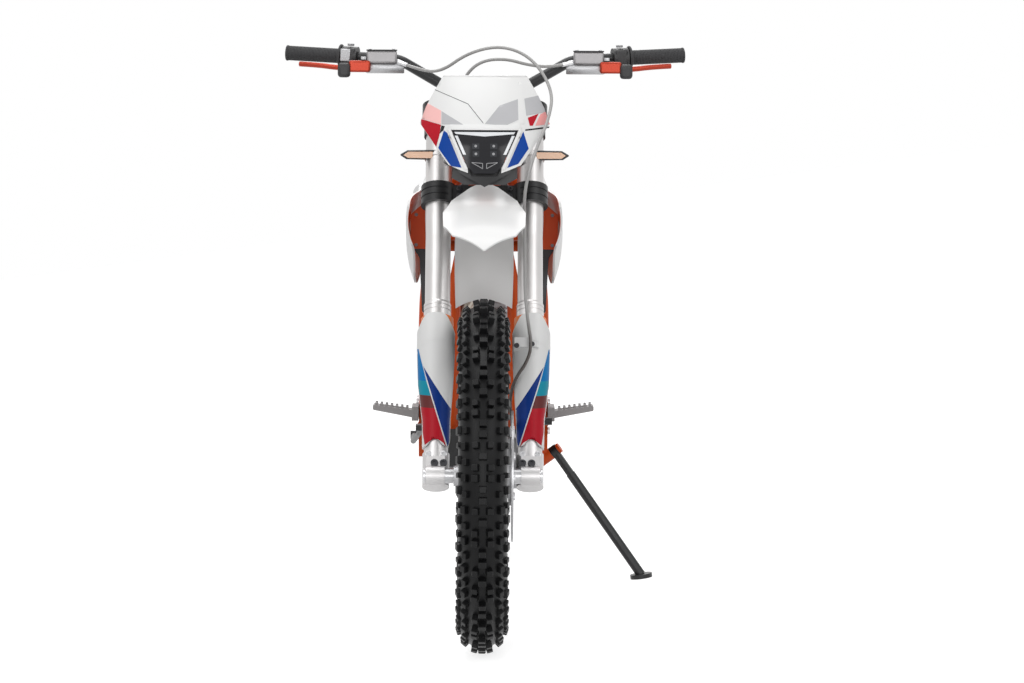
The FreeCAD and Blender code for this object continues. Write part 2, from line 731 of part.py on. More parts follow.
def chain_pins():
    """The pins of the chain's loop, at even pitch round both sprockets."""
    front = V(chain_line, sprocket_y, sprocket_z)
    rear = V(chain_line, rear_axle_y, rear_radius)
    r_front = chain_pitch / 2 / math.sin(math.pi / front_teeth)
    r_rear = chain_pitch / 2 / math.sin(math.pi / rear_teeth)
    along = (rear - front).normalize()
    upward = V(1, 0, 0).cross(along)
    lean = (r_front - r_rear) / (rear - front).Length
    rise = math.sqrt(1 - lean * lean)
    top = along * lean + upward * rise
    low = along * lean - upward * rise
    corners = [front + top * r_front, rear + top * r_rear, rear + low * r_rear, front + low * r_front]
    path = Part.Wire([Part.LineSegment(corners[0], corners[1]).toShape(),
                      Part.Arc(corners[1], rear + V(0, r_rear, 0), corners[2]).toShape(),
                      Part.LineSegment(corners[2], corners[3]).toShape(),
                      Part.Arc(corners[3], front - V(0, r_front, 0), corners[0]).toShape()])
    count = 2 * round(path.Length / chain_pitch / 2)
    return path.discretize(Number=count + 1)[:-1]


def chain_link(a, b, half_width, half_height, overlap):
    """One link as a block that reaches past both its pins."""
    along = (b - a).normalize()
    up = V(1, 0, 0).cross(along) * half_height
    a, b = a - along * overlap, b + along * overlap
    shift = V(-half_width, 0, 0)
    wire = Part.makePolygon([p + shift for p in (a + up, b + up, b - up, a - up, a + up)])
    return Part.Face(wire).extrude(V(2 * half_width, 0, 0))


def drive_chain():
    """A roller chain as a fixed loop, wide outer links between narrow inner ones."""
    pins = chain_pins()
    links = []
    for i, a in enumerate(pins):
        b = pins[(i + 1) % len(pins)]
        links.append(chain_link(a, b, 5.5, 4.5, 0.0) if i % 2 else chain_link(a, b, 8.5, 6.0, 4.0))
    return links[0].multiFuse(links[1:])


def front_sprocket():
    """The small sprocket on its output shaft."""
    wheel = sprocket(front_teeth, 9.0, 0, 0).translated(V(0, sprocket_y, sprocket_z))
    shaft = across(sprocket_y, sprocket_z, engine_left, chain_line + 12, 12.0)
    return join([wheel, shaft])


def rear_sprocket():
    return at_rear_axle(sprocket(rear_teeth, 26.0 + seat_gap, 82.0, 17.0))


# Silencer, from the header's end to the tail
silencer_front = (-130.0, 337.0, 758.0)
silencer_back = (-134.0, 760.0, 832.0)

# Engine, seen from the side as (y, z)
engine_left = 64.0
engine_right = -72.0
crankcase_outline = [(-232, 372), (-240, 452), (-196, 548), (-52, 566), (40, 540), (98, 500), (98, 372),
                     (40, 344), (-190, 344)]
cylinder_foot = (0.0, -122.0, 560.0)
cylinder_top = (0.0, -168.0, 792.0)


def crankcase():
    """The engine's cases as one block."""
    return plate_yz(crankcase_outline, engine_right, engine_left, 26)


def cylinder():
    """Cylinder, head and head cover, leaned forward on the cases."""
    foot, top = V(*cylinder_foot), V(*cylinder_top)
    along = (top - foot).normalize()
    height = (top - foot).Length
    angle = math.degrees(math.atan2(foot.y - top.y, top.z - foot.z))
    parts = []
    for low, high, half_x, half_y in ((-12, 78, 52, 55), (78, 90, 60, 62), (90, 168, 58, 58),
                                      (168, 176, 62, 62), (176, height, 54, 52)):
        points = [(-half_x, -half_y), (half_x, -half_y), (half_x, half_y), (-half_x, half_y)]
        parts.append(plate_xy(points, low, high, 14))
    block = join(parts)
    block.rotate(V(0, 0, 0), V(1, 0, 0), angle)
    return block.translated(foot).cut(crankcase())


def engine_covers():
    """Clutch cover on the right, ignition cover and sprocket guard on the left."""
    clutch = across(-10, 452, engine_right - 34, engine_right, 66)
    small = across(-128, 440, engine_right - 24, engine_right, 50)
    pump = across(-150, 500, engine_right - 14, engine_right, 30)
    right = join([clutch, small, pump])
    ignition = join([across(-118, 450, engine_left, engine_left + 30, 62),
                     across(-118, 450, engine_left + 30, engine_left + 38, 44)])
    starter = across(-196, 500, engine_left, engine_left + 22, 24)
    return together([right, join([ignition, starter])])


def throttle_body():
    """Intake behind the head with its rubber boot."""
    body = join([rod((0, -110, 700), (0, -30, 700), 24), rod((0, -66, 700), (0, -56, 700), 30),
                 rod((0, -30, 700), (0, 4, 702), 29)])
    return body.cut(cylinder())


def exhaust_pipe():
    """The header: out of the head, round the right side and back above the clutch cover."""
    points = [(-6, -200, 718), (-8, -258, 696), (-44, -274, 650), (-86, -236, 600), (-94, -120, 590),
              (-94, 60, 606), (-92, 180, 648), (-112, 270, 716), silencer_front]
    head = pipe(points, 18.0, 60.0)
    flange = rod((-6, -212, 714), (-6, -236, 706), 27)
    return join([head, flange]).cut(cylinder())


def silencer():
    """An oval can with end caps."""
    a, b = V(*silencer_front), V(*silencer_back)
    angle = math.degrees(math.atan2(b.z - a.z, b.y - a.y))
    length = (b - a).Length
    sections = []
    for y, half_x, half_z in ((0, 20, 22), (34, 34, 48), (length - 40, 36, 54), (length, 22, 30)):
        sections.append((0, y, 0, half_x, half_z))
    can = body_along_y(sections, 26, True)
    can = can.cut(rod((0, length - 30, 0), (0, length + 5, 0), 14))
    can.rotate(V(0, 0, 0), V(1, 0, 0), angle)
    return can.translated(a)


def head_tube():
    low = lower_clamp_at + lower_clamp_height + 2.0
    high = upper_clamp_at - 2.0
    outer = rod((0, 0, low), (0, 0, high), head_tube_radius)
    return outer.cut(rod((0, 0, low - 1), (0, 0, high + 1), head_tube_radius - head_tube_wall))


spar_points = [(20, -352, 985), (88, -180, 866), (116, 40, 762), (127, 112, 640), (130, 128, 520)]
cradle_z = 330.0
down_tube_points = [(14, -366, 938), (28, -343, 863), (62, -312, 690), (64, -292, 500), (68, -270, cradle_z + 14),
                    (74, -200, cradle_z), (76, 30, cradle_z), (96, 96, cradle_z + 8), (132, 120, 380)]


def pivot_plate():
    """The side plate that holds the swingarm, the footpeg and the stand."""
    outline_points = [(92, 560), (92, 400), (60, 350), (84, 300), (150, 330), (166, 420), (150, 560)]
    return plate_yz(outline_points, pivot_plate_inner, pivot_plate_inner + pivot_plate_wall, 12)


def frame():
    """The orange main frame: head tube, spars, cradle and pivot plates."""
    spar = pipe(spar_points, spar_radius, 90.0)
    down = pipe(down_tube_points, down_tube_radius, 60.0)
    tabs = [rod((60, -312, 702), (86, -274, 702), 6), rod((40, -336, 800), (86, -256, 800), 6)]
    side = join([spar, down, pivot_plate()] + tabs)
    cross = [across(-316, 690, -62, 62, 10), across(shock_top_y, shock_top_z, -118, 118, 12), across(-268, 348, -66, 66, 12)]
    body = join([side, mirrored(side), on_fork(head_tube())] + cross)
    low = lower_clamp_at + lower_clamp_height + 2.0
    inside = rod((0, 0, low - 30), (0, 0, upper_clamp_at + 30), head_tube_radius - head_tube_wall)
    pivot = across(pivot_y, pivot_z, -150, 150, 10.0)
    return body.cut([on_fork(inside), pivot, radiators(), radiator_guards()])


def subframe():
    """The light frame under the seat."""
    rail = pipe([(106, -44, 802), (74, 72, 848), (70, 200, 868), (66, 566, 902)], rail_radius, 80)
    strut = pipe([(131, 118, 622), (120, 186, 722), (68, 440, 878)], rail_radius - 1, 60)
    links = [across(200, 868, -70, 70, 8), across(560, 901, -66, 66, 8)]
    body = join([rail, strut, mirrored(rail), mirrored(strut)] + links)
    return body.cut(frame())


def swingarm():
    """Two tapered arms, the pivot tube and the brace ahead of the tyre."""
    outer = swingarm_half_width
    inner = outer - swingarm_wall
    middle = (outer + inner) / 2
    half = swingarm_wall / 2
    arm = body_along_y([(middle, pivot_y - 26, pivot_z, half, 24), (middle, pivot_y + 120, pivot_z - 6, half, 36),
                        (middle, pivot_y + 330, pivot_z - 26, half, 38),
                        (middle, rear_axle_y - 60, rear_radius, half, 26),
                        (middle, rear_axle_y + 46, rear_radius, half, 24)], 9)
    tube = across(pivot_y, pivot_z, -inner - 1, inner + 1, 17)
    brace = box(-inner - 1, inner + 1, pivot_y + 64, pivot_y + 112, pivot_z - 32, pivot_z + 8)
    ears = [plate_yz([(pivot_y + 68, pivot_z), (pivot_y + 68, pivot_z + 46), (pivot_y + 104, pivot_z + 46),
                      (pivot_y + 104, pivot_z)], x, x + 9, 6) for x in (shock_x - 22, shock_x + 13)]
    body = join([arm, mirrored(arm), tube, brace] + ears)
    return body.cut([across(pivot_y, pivot_z, -150, 150, 10.0),
                     across(rear_axle_y, rear_radius, -150, 150, rear_axle_radius)])


def pivot_bolt():
    reach = pivot_plate_inner + pivot_plate_wall
    return join([across(pivot_y, pivot_z, -reach - 6, reach + 6, 10.0),
                 across(pivot_y, pivot_z, reach, reach + 6, 15.0),
                 across(pivot_y, pivot_z, -reach - 6, -reach, 15.0)])


def rear_axle():
    """Axle, spacers, adjuster blocks and nut."""
    reach = swingarm_half_width
    inner = reach - swingarm_wall
    hub_left = chain_line - sprocket_thickness / 2 + 14.0
    hub_right = rear_disc_x + 2.0 - 10.0
    parts = [across(0, 0, -reach - 10, reach + 10, rear_axle_radius), across(0, 0, reach, reach + 10, 19),
             across(0, 0, -reach - 8, -reach, 19), across(0, 0, hub_left + running_gap, inner, 20),
             across(0, 0, -inner, hub_right - running_gap, 20)]
    return at_rear_axle(join(parts))


def rear_shock():
    """Damper with its coil spring, between the frame and the swingarm brace."""
    low = V(shock_x, pivot_y + 86, pivot_z + 30)
    high = V(shock_x, shock_top_y, shock_top_z)
    length = (high - low).Length
    seat_low, seat_high = 58.0, length - 84.0
    parts = [rod((0, 0, 0), (0, 0, length), 9), rod((0, 0, length - 200), (0, 0, length - 44), 23),
             rod((0, 0, seat_high), (0, 0, seat_high + 8), 40), rod((0, 0, seat_low - 8), (0, 0, seat_low), 39),
             spring(31.0, 5.5, seat_low + 4.0, seat_high - 4.0, 6), across(0, 0, -13, 13, 14),
             across(0, length, -13, 13, 21), rod((0, 0, length - 50), (0, 0, length - 10), 16)]
    body = join(parts)
    angle = math.degrees(math.atan2(low.y - high.y, high.z - low.z))
    body.rotate(V(0, 0, 0), V(1, 0, 0), angle)
    return body.translated(low).cut([swingarm(), frame()])


def spring(radius, wire_radius, low, high, turns):
    """A coil spring about Z."""
    coil = Part.makeHelix((high - low) / turns, high - low, radius)
    circle = Part.makeCircle(wire_radius, V(radius, 0, 0), V(0, 1, 0))
    return coil.makePipeShell([Part.Wire(circle)], True, True).translated(V(0, 0, low))


tank_sections = [(0, -238, 962, 52, 38), (0, -200, 962, 88, 58), (0, -120, 954, 112, 66),
                 (0, -20, 942, 104, 60), (0, 60, 905, 78, 34)]
seat_base = [(-92, 992), (20, 936), (120, 908), (330, 908), (580, 918)]


def above_seat_base(lift):
    """The space above the line on which the seat lies."""
    points = [(y, z + lift) for y, z in seat_base]
    return plate_yz(points + [(600, 1100), (-92, 1100)], -200, 200, 0.5)


def fuel_tank():
    """The tank with its cap, cut where the seat lies on it."""
    tank = body_along_y(tank_sections, 34)
    cap = join([rod((0, -150, 1010), (0, -150, 1030), 26), rod((0, -150, 1030), (0, -150, 1038), 20)])
    body = join([tank, cap]).cut(above_seat_base(0))
    return body.cut([frame(), subframe()])


def seat():
    """One long padded seat."""
    sections = [(0, -90, 986, 44, 18), (0, 0, 950, 70, 40), (0, 120, 930, 82, 42), (0, 300, 926, 92, 46),
                (0, 480, 930, 90, 44), (0, 572, 936, 70, 28)]
    return body_along_y(sections, 22).common(above_seat_base(seat_gap))


def rear_fender():
    """The tail: a broad arched sheet over the rear wheel."""
    sheet = arched_sheet([(600, 908, 76, 20), (700, 926, 88, 30), (820, 960, 84, 28), (930, 1000, 62, 16),
                          (985, 1016, 30, 5)], 3.0)
    under = arched_sheet([(420, 872, 52, 16), (520, 884, 54, 18), (604, 906, 74, 22)], 3.0)
    return join([sheet, under]).cut(subframe())


radiator_lean = -12.0
radiator_face_y = -286.0
radiator_low = 640.0
radiator_high = 866.0


def leaned(shape):
    """Tips a radiator piece back at the top."""
    shape.rotate(V(0, radiator_face_y, (radiator_low + radiator_high) / 2), V(1, 0, 0), radiator_lean)
    return shape


def radiators():
    """Two radiators behind their guards."""
    points = [(80, radiator_low + 4), (126, radiator_low + 4), (134, 760), (134, radiator_high - 4),
              (80, radiator_high - 4)]
    return pair(leaned(plate_xz(points, radiator_face_y, radiator_face_y + 36, 6)))


def radiator_guards():
    """Orange guards ahead of the radiators: slats behind the fork, and a wing out to the shroud."""
    points = [(78, radiator_low), (128, radiator_low), (134, 756), (152, 784), (154, 846), (132, radiator_high),
              (78, radiator_high)]
    plate = plate_xz(points, radiator_face_y - 10, radiator_face_y, 6)
    slots = []
    for i in range(8):
        z = radiator_low + 14 + i * 26
        slots.append(box(86, 118, radiator_face_y - 20, radiator_face_y + 10, z, z + 13))
    return pair(leaned(plate.cut(slots)))


def shroud_section(y, low, middle, high):
    """A bowed vertical section of a shroud panel, from three (x, z) points of its outside."""
    outer = [V(x, y, z) for x, z in (low, middle, high)]
    inner = [p - V(shroud_wall, 0, 0) for p in outer]
    return Part.Wire([Part.Arc(*outer).toShape(), Part.LineSegment(outer[2], inner[2]).toShape(),
                      Part.Arc(inner[2], inner[1], inner[0]).toShape(),
                      Part.LineSegment(inner[0], outer[0]).toShape()])


shroud_wall = 4.0


def radiator_shrouds():
    """White wing panels outside the radiators, from ahead of them back to the tank."""
    sections = [shroud_section(-405, (150, 790), (160, 830), (157, 868)),
                shroud_section(-330, (146, 748), (162, 826), (149, 890)),
                shroud_section(-240, (146, 704), (160, 816), (133, 900)),
                shroud_section(-120, (136, 732), (148, 832), (121, 928)),
                shroud_section(-20, (132, 806), (134, 862), (114, 914))]
    panel = Part.makeLoft(sections, True, False)
    pads = [across(-124, 918, 100, 124, 9), across(-34, 898, 96, 120, 9)]
    return pair(join([panel] + pads).cut([fuel_tank(), radiator_guards(), frame()]))


def side_panels():
    """White panels under the seat."""
    sections = [shroud_section(96, (132, 770), (112, 822), (84, 866)),
                shroud_section(200, (136, 742), (116, 812), (83, 874)),
                shroud_section(330, (116, 800), (102, 845), (80, 884))]
    return pair(Part.makeLoft(sections, True, False).cut(subframe()))


def footpeg():
    """A toothed footpeg on its bracket."""
    root = pivot_plate_inner + pivot_plate_wall
    bracket = box(root, root + 14, 4, 96, 390, 420)
    peg = plate_xz([(root + 8, 396), (root + 98, 413), (root + 98, 424), (root + 8, 412)], 6, 56, 3)
    window = box(root + 24, root + 84, 20, 42, 380, 440)
    teeth = []
    for y in (6, 42):
        for i in range(7):
            x = root + 22 + i * 11
            z = 412 + (x - root - 8) * 0.13
            teeth.append(box(x, x + 5, y, y + 14, z - 3, z + 6))
    return join([bracket, peg.cut(window)] + teeth)


def footpegs():
    return pair(footpeg())


def foot_levers():
    """Brake pedal on the right and gear lever on the left."""
    brake = pipe([(-150, 84, 352), (-150, -40, 350), (-136, -130, 376), (-124, -178, 392)], 6.0, 40)
    pivot = rod((-140, 84, 352), (-158, 84, 352), 9.0)
    pad = box(-142, -108, -204, -168, 388, 400)
    shift = pipe([(110, -8, 420), (122, -60, 410), (124, -140, 404)], 5.0, 30)
    toe = rod((116, -142, 404), (146, -142, 404), 8.0)
    shaft = rod((64, -8, 420), (116, -8, 420), 7.0)
    return together([join([brake, pivot, pad]), join([shift, toe, shaft])])


def skid_plate():
    """A bent plate under the cradle."""
    top = cradle_z - down_tube_radius
    points = [(-316, 402), (-296, 322), (-262, top - 5), (46, top - 5), (46, top), (-260, top), (-290, 326), (-311, 403)]
    return plate_yz(points, -84, 84, 1.0).cut(frame())


def rear_caliper():
    """The caliper ahead of the rear axle, above the right arm."""
    block = plate_yz([(-70, 52), (-118, 44), (-126, 84), (-84, 112), (-52, 96)], rear_disc_x - 22, rear_disc_x + 22, 10)
    gap = across(0, 0, rear_disc_x - 2 - pad_gap, rear_disc_x + 2 + pad_gap, rear_disc_radius + 4)
    inner = -(swingarm_half_width - swingarm_wall) + seat_gap
    carrier = plate_yz([(-96, 96), (-112, 60), (-24, -24), (24, -24), (24, 24)], inner, rear_disc_x - 16, 8)
    body = at_rear_axle(join([block.cut(gap), carrier]))
    return body.cut([swingarm(), rear_axle()])


def rear_lights():
    """Tail lamp and indicators under the fender's end."""
    lamp = box(-32, 32, 890, 925, 930, 976.5)
    stalks = join([rod((26, 905, 940), (80, 905, 936), 5), body_lamp(76, 126, 905, 936)])
    return join([lamp, stalks, mirrored(stalks)]).cut(rear_fender())


def hose(points):
    """A hose held by its fittings, as straight runs with arcs as wide as they allow."""
    return pipe(points, hose_radius, hose_bend)


# Right master cylinder, over the mask, down the left fork leg and in to the caliper
brake_hose_points = [(-181, -344, 1164), (-138, -372, 1148), (-92, -410, 1142), (-34, -440, 1184), (36, -456, 1199),
                     (98, -474, 1172), (138, -512, 1106), (128, -558, 1050), (106, -602, 1002), (91, -624, 956),
                     (80, -610, 908), (80, -572, 850), (82, -568, 780), (82, -592, 706), (88, -612, 650),
                     (96, -634, 600), (86, -648, 568), (66, -646, 540), (56, -628, 512), (53, -616, 480),
                     (58, -616, 446), (60, -622, 412)]
# Left master cylinder, over the middle of the bar and down behind the mask
clutch_hose_points = [(181, -344, 1164), (138, -366, 1154), (90, -392, 1158), (40, -412, 1172), (-12, -414, 1166),
                      (-46, -404, 1130), (-52, -392, 1080), (-48, -392, 1030)]


def front_brake_hose():
    """The hose to the caliper, which turns with the fork."""
    return hose(brake_hose_points)


def clutch_hose():
    """The hose behind the mask."""
    return hose(clutch_hose_points)


# The stand's folding axis, upright bike: chosen so that the leg folds back beside the swingarm
stand_folded = (0.03, 0.98, 0.17)
stand_eye_radius = 13.0
stand_eye_width = 16.0
stand_pin_radius = 6.0

lean_turn = FreeCAD.Rotation(V(0, 1, 0), park_lean)


def lowest(shape):
    """How low a shape reaches once the bike leans on its stand."""
    tilted = shape.copy()
    tilted.rotate(V(0, 0, 0), V(0, 1, 0), park_lean)
    return tilted.optimalBoundingBox(False, False).ZMin


def stand_frame(front_low, rear_low):
    """The stand's pivot, foot and folding axis on the upright bike."""
    pivot = V(*stand_pivot)
    top = lean_turn.multVec(pivot)
    foot = V(top.x + stand_reach, top.y - stand_forward, 0)
    foot.z = (front_low + rear_low) / 2 + foot.y * (rear_low - front_low) / wheelbase
    foot = lean_turn.inverted().multVec(foot)
    up = lean_turn.inverted().multVec(V(0, 0, 1))
    axis = (foot + up * stand_foot_height - pivot).cross(V(*stand_folded)).normalize()
    return pivot, foot, up, axis


def side_stand(pivot, foot, up, axis):
    """The stand, down: an eye, a leg and a foot flat on the ground of the leaned bike."""
    plate = Part.makeCylinder(stand_foot_radius, stand_foot_height, foot, up)
    leg_end = foot + up * (stand_foot_height - 2)
    leg = Part.makeCylinder(stand_radius, (leg_end - pivot).Length, pivot, leg_end - pivot)
    half = stand_eye_width / 2
    eye = Part.makeCylinder(stand_eye_radius, stand_eye_width, pivot - axis * half, axis)
    bore = Part.makeCylinder(stand_pin_radius, 80, pivot - axis * 40, axis)
    flat_cut = [Part.makeCylinder(60, 40, pivot + axis * half, axis), Part.makeCylinder(60, 40, pivot - axis * half, axis * -1)]
    below = Part.makeCylinder(60, 20, foot, up * -1)
    return join([plate, leg.cut(flat_cut), eye]).cut([bore, below])


def stand_mount(pivot, axis):
    """The boss and pin on the left pivot plate that carry the stand."""
    half = stand_eye_width / 2 + running_gap
    pin = Part.makeCylinder(stand_pin_radius - bearing_gap, 2 * half + 30, pivot - axis * (half + 24), axis)
    boss = Part.makeCylinder(stand_eye_radius, 34, pivot - axis * half, axis * -1)
    head = Part.makeCylinder(stand_eye_radius - 2, 6, pivot + axis * half, axis)
    outside = box(pivot_plate_inner - 4, 260, 0, 200, 200, 420)
    return [pin, boss.common(outside), head]


nodes = {
    "front_tyre": at_front_axle(front_tyre()),
    "front_rim": at_front_axle(rim(front_bead, front_rim_width)),
    "front_hub": at_front_axle(front_hub()),
    "front_disc": at_front_axle(brake_disc(front_disc_radius, 24.5, front_disc_offset, 58.0)),
    "rear_tyre": at_rear_axle(rear_tyre()),
    "rear_rim": at_rear_axle(rim(rear_bead, rear_rim_width)),
    "rear_hub": at_rear_axle(rear_hub()),
    "rear_disc": at_rear_axle(brake_disc(rear_disc_radius, 26.5, rear_disc_x, 50.0)),
    "rear_sprocket": rear_sprocket(),
    "triple_clamps": triple_clamps(),
    "fork_tubes": fork_tubes(),
    "fork_wipers": fork_wipers(),
    "fork_legs": fork_legs(),
    "fork_guards": fork_guards(),
    "front_axle": front_axle(),
    "handlebar": handlebar(),
    "grips": grips(),
    "switchgear": switchgear(),
    "master_cylinders": master_cylinders(),
    "hand_levers": hand_levers(),
    "headlight_mask": headlight_mask(),
    "headlight": headlight(),
    "mask_bracket": mask_bracket(),
    "front_fender": fender_front(),
    "front_indicators": front_indicators(),
    "front_caliper": front_caliper(),
    "front_brake_hose": front_brake_hose().cut([master_cylinders(), front_caliper()]),
    "clutch_hose": clutch_hose().cut([master_cylinders(), mask_bracket()]),
    "frame": frame(),
    "subframe": subframe(),
    "swingarm": swingarm(),
    "pivot_bolt": pivot_bolt(),
    "rear_axle": rear_axle(),
    "rear_shock": rear_shock(),
    "crankcase": crankcase(),
    "cylinder": cylinder(),
    "engine_covers": engine_covers(),
    "throttle_body": throttle_body(),
    "exhaust_pipe": exhaust_pipe(),
    "silencer": silencer().cut(exhaust_pipe()),
    "front_sprocket": front_sprocket(),
    "drive_chain": drive_chain(),
    "fuel_tank": fuel_tank(),
    "seat": seat(),
    "rear_fender": rear_fender(),
    "radiators": radiators(),
    "radiator_guards": radiator_guards(),
    "radiator_shrouds": radiator_shrouds(),
    "side_panels": side_panels(),
    "footpegs": footpegs(),
    "foot_levers": foot_levers(),
    "skid_plate": skid_plate(),
    "rear_caliper": rear_caliper(),
    "rear_lights": rear_lights(),
}

front_low = lowest(nodes["front_tyre"])
rear_low = lowest(nodes["rear_tyre"])
pivot, foot, up, axis = stand_frame(front_low, rear_low)
nodes["side_stand"] = side_stand(pivot, foot, up, axis)
nodes["frame"] = join([nodes["frame"]] + stand_mount(pivot, axis))


def parking():
    """The placement that leans the bike over and sets it on the ground about its own middle."""
    pitch = math.degrees(math.asin((front_low - rear_low) / wheelbase))
    turn = FreeCAD.Rotation(V(1, 0, 0), pitch).multiply(lean_turn)
    lean = FreeCAD.Placement(V(0, 0, 0), turn)
    reach = FreeCAD.BoundBox()
    for name in ("front_tyre", "rear_tyre", "grips", "hand_levers", "master_cylinders"):
        shape = nodes[name].copy()
        shape.Placement = lean.multiply(shape.Placement)
        reach.add(shape.optimalBoundingBox(False, False))
    return FreeCAD.Placement(V(-reach.Center.x, -reach.Center.y, -reach.ZMin), turn)


park = parking()


def show(label, point, direction=None):
    """Prints a point and a direction of the parked bike, for its joints."""
    placed = park.multVec(V(*point))
    words = [label] + [round(c, 4) for c in placed]
    if direction:
        words += [round(c, 6) for c in park.Rotation.multVec(V(*direction).normalize())]
    print(*words)


steering_direction = (0, math.sin(math.radians(rake)), math.cos(math.radians(rake)))
show("front wheel axis", (0, front_axle_y, front_radius), (1, 0, 0))
show("rear wheel axis", (0, rear_axle_y, rear_radius), (1, 0, 0))
show("steering axis", fork_point(0, 0, upper_clamp_at), steering_direction)
show("stand axis", tuple(pivot), tuple(axis))
show("stand foot", tuple(foot))
show("front axle bore end", (leg_x + axle_lug_outer + 2.0, front_axle_y, front_radius))
show("bar middle", (0, *bar_centre()), (1, 0, 0))
show("lift face", (0, 0, cradle_z - down_tube_radius - 5), (0, 0, -1))
leg_direction = foot + up * stand_foot_height - pivot
print("stand folds by", round(math.degrees(leg_direction.getAngle(V(*stand_folded))), 2))
for label, points in (("brake hose bends", brake_hose_points), ("clutch hose bends", clutch_hose_points)):
    places = [V(*p) for p in points]
    print(label, *[round(corner(a, b, c, hose_bend)[3]) for a, b, c in zip(places, places[1:], places[2:])])

os.makedirs("parts", exist_ok=True)
for name, shape in nodes.items():
    shape.Placement = park.multiply(shape.Placement)
    shape.exportStep("parts/" + name + ".step")
    print(name, len(shape.Solids), round(shape.Volume / 1000.0, 1), shape.isValid())
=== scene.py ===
# %% [markdown]
# # A motocross bike, dressed in Blender
# The solids of the bike come from a CAD model that stands in metres on the ground, leaning on its side
# stand. This lesson gives them finishes, replaces some of them by finer pieces, and lights the whole
# like a catalogue photograph.

# %% Tools and the frame
import json
import math

import bmesh
import bpy
from mathutils import Matrix, Vector
from mathutils.bvhtree import BVHTree


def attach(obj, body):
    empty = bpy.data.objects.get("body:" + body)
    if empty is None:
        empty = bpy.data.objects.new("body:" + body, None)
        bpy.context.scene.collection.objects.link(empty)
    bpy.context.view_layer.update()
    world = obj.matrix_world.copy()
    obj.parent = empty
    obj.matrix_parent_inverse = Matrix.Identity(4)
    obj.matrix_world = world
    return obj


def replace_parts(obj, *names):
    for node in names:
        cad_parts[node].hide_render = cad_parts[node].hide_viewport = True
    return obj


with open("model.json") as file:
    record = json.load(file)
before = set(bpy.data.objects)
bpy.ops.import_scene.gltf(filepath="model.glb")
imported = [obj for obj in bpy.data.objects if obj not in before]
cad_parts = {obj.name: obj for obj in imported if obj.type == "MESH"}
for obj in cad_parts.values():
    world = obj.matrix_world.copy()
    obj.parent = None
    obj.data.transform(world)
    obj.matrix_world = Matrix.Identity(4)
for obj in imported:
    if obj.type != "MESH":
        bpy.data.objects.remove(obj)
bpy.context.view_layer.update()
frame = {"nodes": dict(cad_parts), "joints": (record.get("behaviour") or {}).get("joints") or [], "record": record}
both_ways = (1, -1)
side_names = {1: "left", -1: "right"}

# %% [markdown]
# The bike leans by some degrees, so nothing on it is level. All new pieces are planned on the upright
# bike, with X to its left, the nose at -Y and the ground at zero, and then laid into the leaning one. The
# two wheel axles and the steering axis are enough to find that leaning frame.

# %% The upright bike's frame
joints = {joint["name"]: joint for joint in frame["joints"]}
rake = math.radians(26.5)
front_axle = Vector(joints["front_wheel_spin"]["pos_m"])
side = Vector(joints["front_wheel_spin"]["axis"]).normalized()
stem = Vector(joints["steering"]["axis"]).normalized()
level = stem.cross(side)
back = stem * math.sin(rake) + level * math.cos(rake)
up = stem * math.cos(rake) - level * math.sin(rake)
upright = Matrix((side, back, up)).transposed().to_4x4()
front_hub, rear_hub = Vector((0, -0.74, 0.35)), Vector((0, 0.74, 0.34))
upright.translation = front_axle - upright.to_3x3() @ front_hub
print("lean", round(math.degrees(math.asin(-side.z)), 2))


def fork_place(across, ahead, along):
    """A point of the steered parts, in the upright bike's frame: metres across, ahead of and along the stem."""
    y = -0.85 + along * math.sin(rake) - ahead * math.cos(rake)
    return Vector((across, y, along * math.cos(rake) + ahead * math.sin(rake)))


# %% [markdown]
# The camera stands well ahead of the bike with a long lens, a little above the bar, and turns with the
# leaning bike, so that the bike looks upright in the picture.

# %% Camera
eye = Vector((0.0, -8.74, 1.2))
camera_data = bpy.data.cameras.new("camera")
camera_data.sensor_width = 36.0
picture_width, focal_pixels = 1024.0, 4072.0
camera_data.lens = camera_data.sensor_width * focal_pixels / picture_width
camera = bpy.data.objects.new("camera", camera_data)
bpy.context.scene.collection.objects.link(camera)
pitch, yaw, roll = math.radians(4.17), math.radians(0.40), math.radians(0.35)
turn = (Matrix.Rotation(-yaw, 4, "Z") @ Matrix.Rotation(math.pi / 2 - pitch, 4, "X")
        @ Matrix.Rotation(roll, 4, "Z"))
camera.matrix_world = upright @ Matrix.Translation(eye) @ turn
bpy.context.scene.camera = camera

# %% [markdown]
# The floor and the world are plain white to the camera, and grey to the light, so that they do not
# brighten the bike. The floor still takes the bike's shadow.

# %% Stage and light
scene = bpy.context.scene
scene.view_settings.view_transform = "Standard"
world = bpy.data.worlds.new("studio")
scene.world = world
world.use_nodes = True
nodes, links = world.node_tree.nodes, world.node_tree.links
white = (1.0, 1.0, 1.0, 1.0)


def tuned(node, **values):
    """Sets inputs of a shader node, with an underscore for each space in their names."""
    for name, value in values.items():
        node.inputs[name.replace("_", " ")].default_value = value
    return node


def fresh(nodes, kind, **values):
    """A new shader node of a kind, with some of its inputs set."""
    return tuned(nodes.new("ShaderNode" + kind), **values)


def seen_white(nodes, links):
    """One where a ray comes from the camera, a shiny surface or glass, and nothing for other light."""
    path, first, both = (fresh(nodes, kind) for kind in ("LightPath", "Math", "Math"))
    for node in (first, both):
        node.operation = "ADD"
        node.use_clamp = True
    links.new(path.outputs["Is Camera Ray"], first.inputs[0])
    links.new(path.outputs["Is Glossy Ray"], first.inputs[1])
    links.new(first.outputs[0], both.inputs[0])
    links.new(path.outputs["Is Transmission Ray"], both.inputs[1])
    return both.outputs[0]


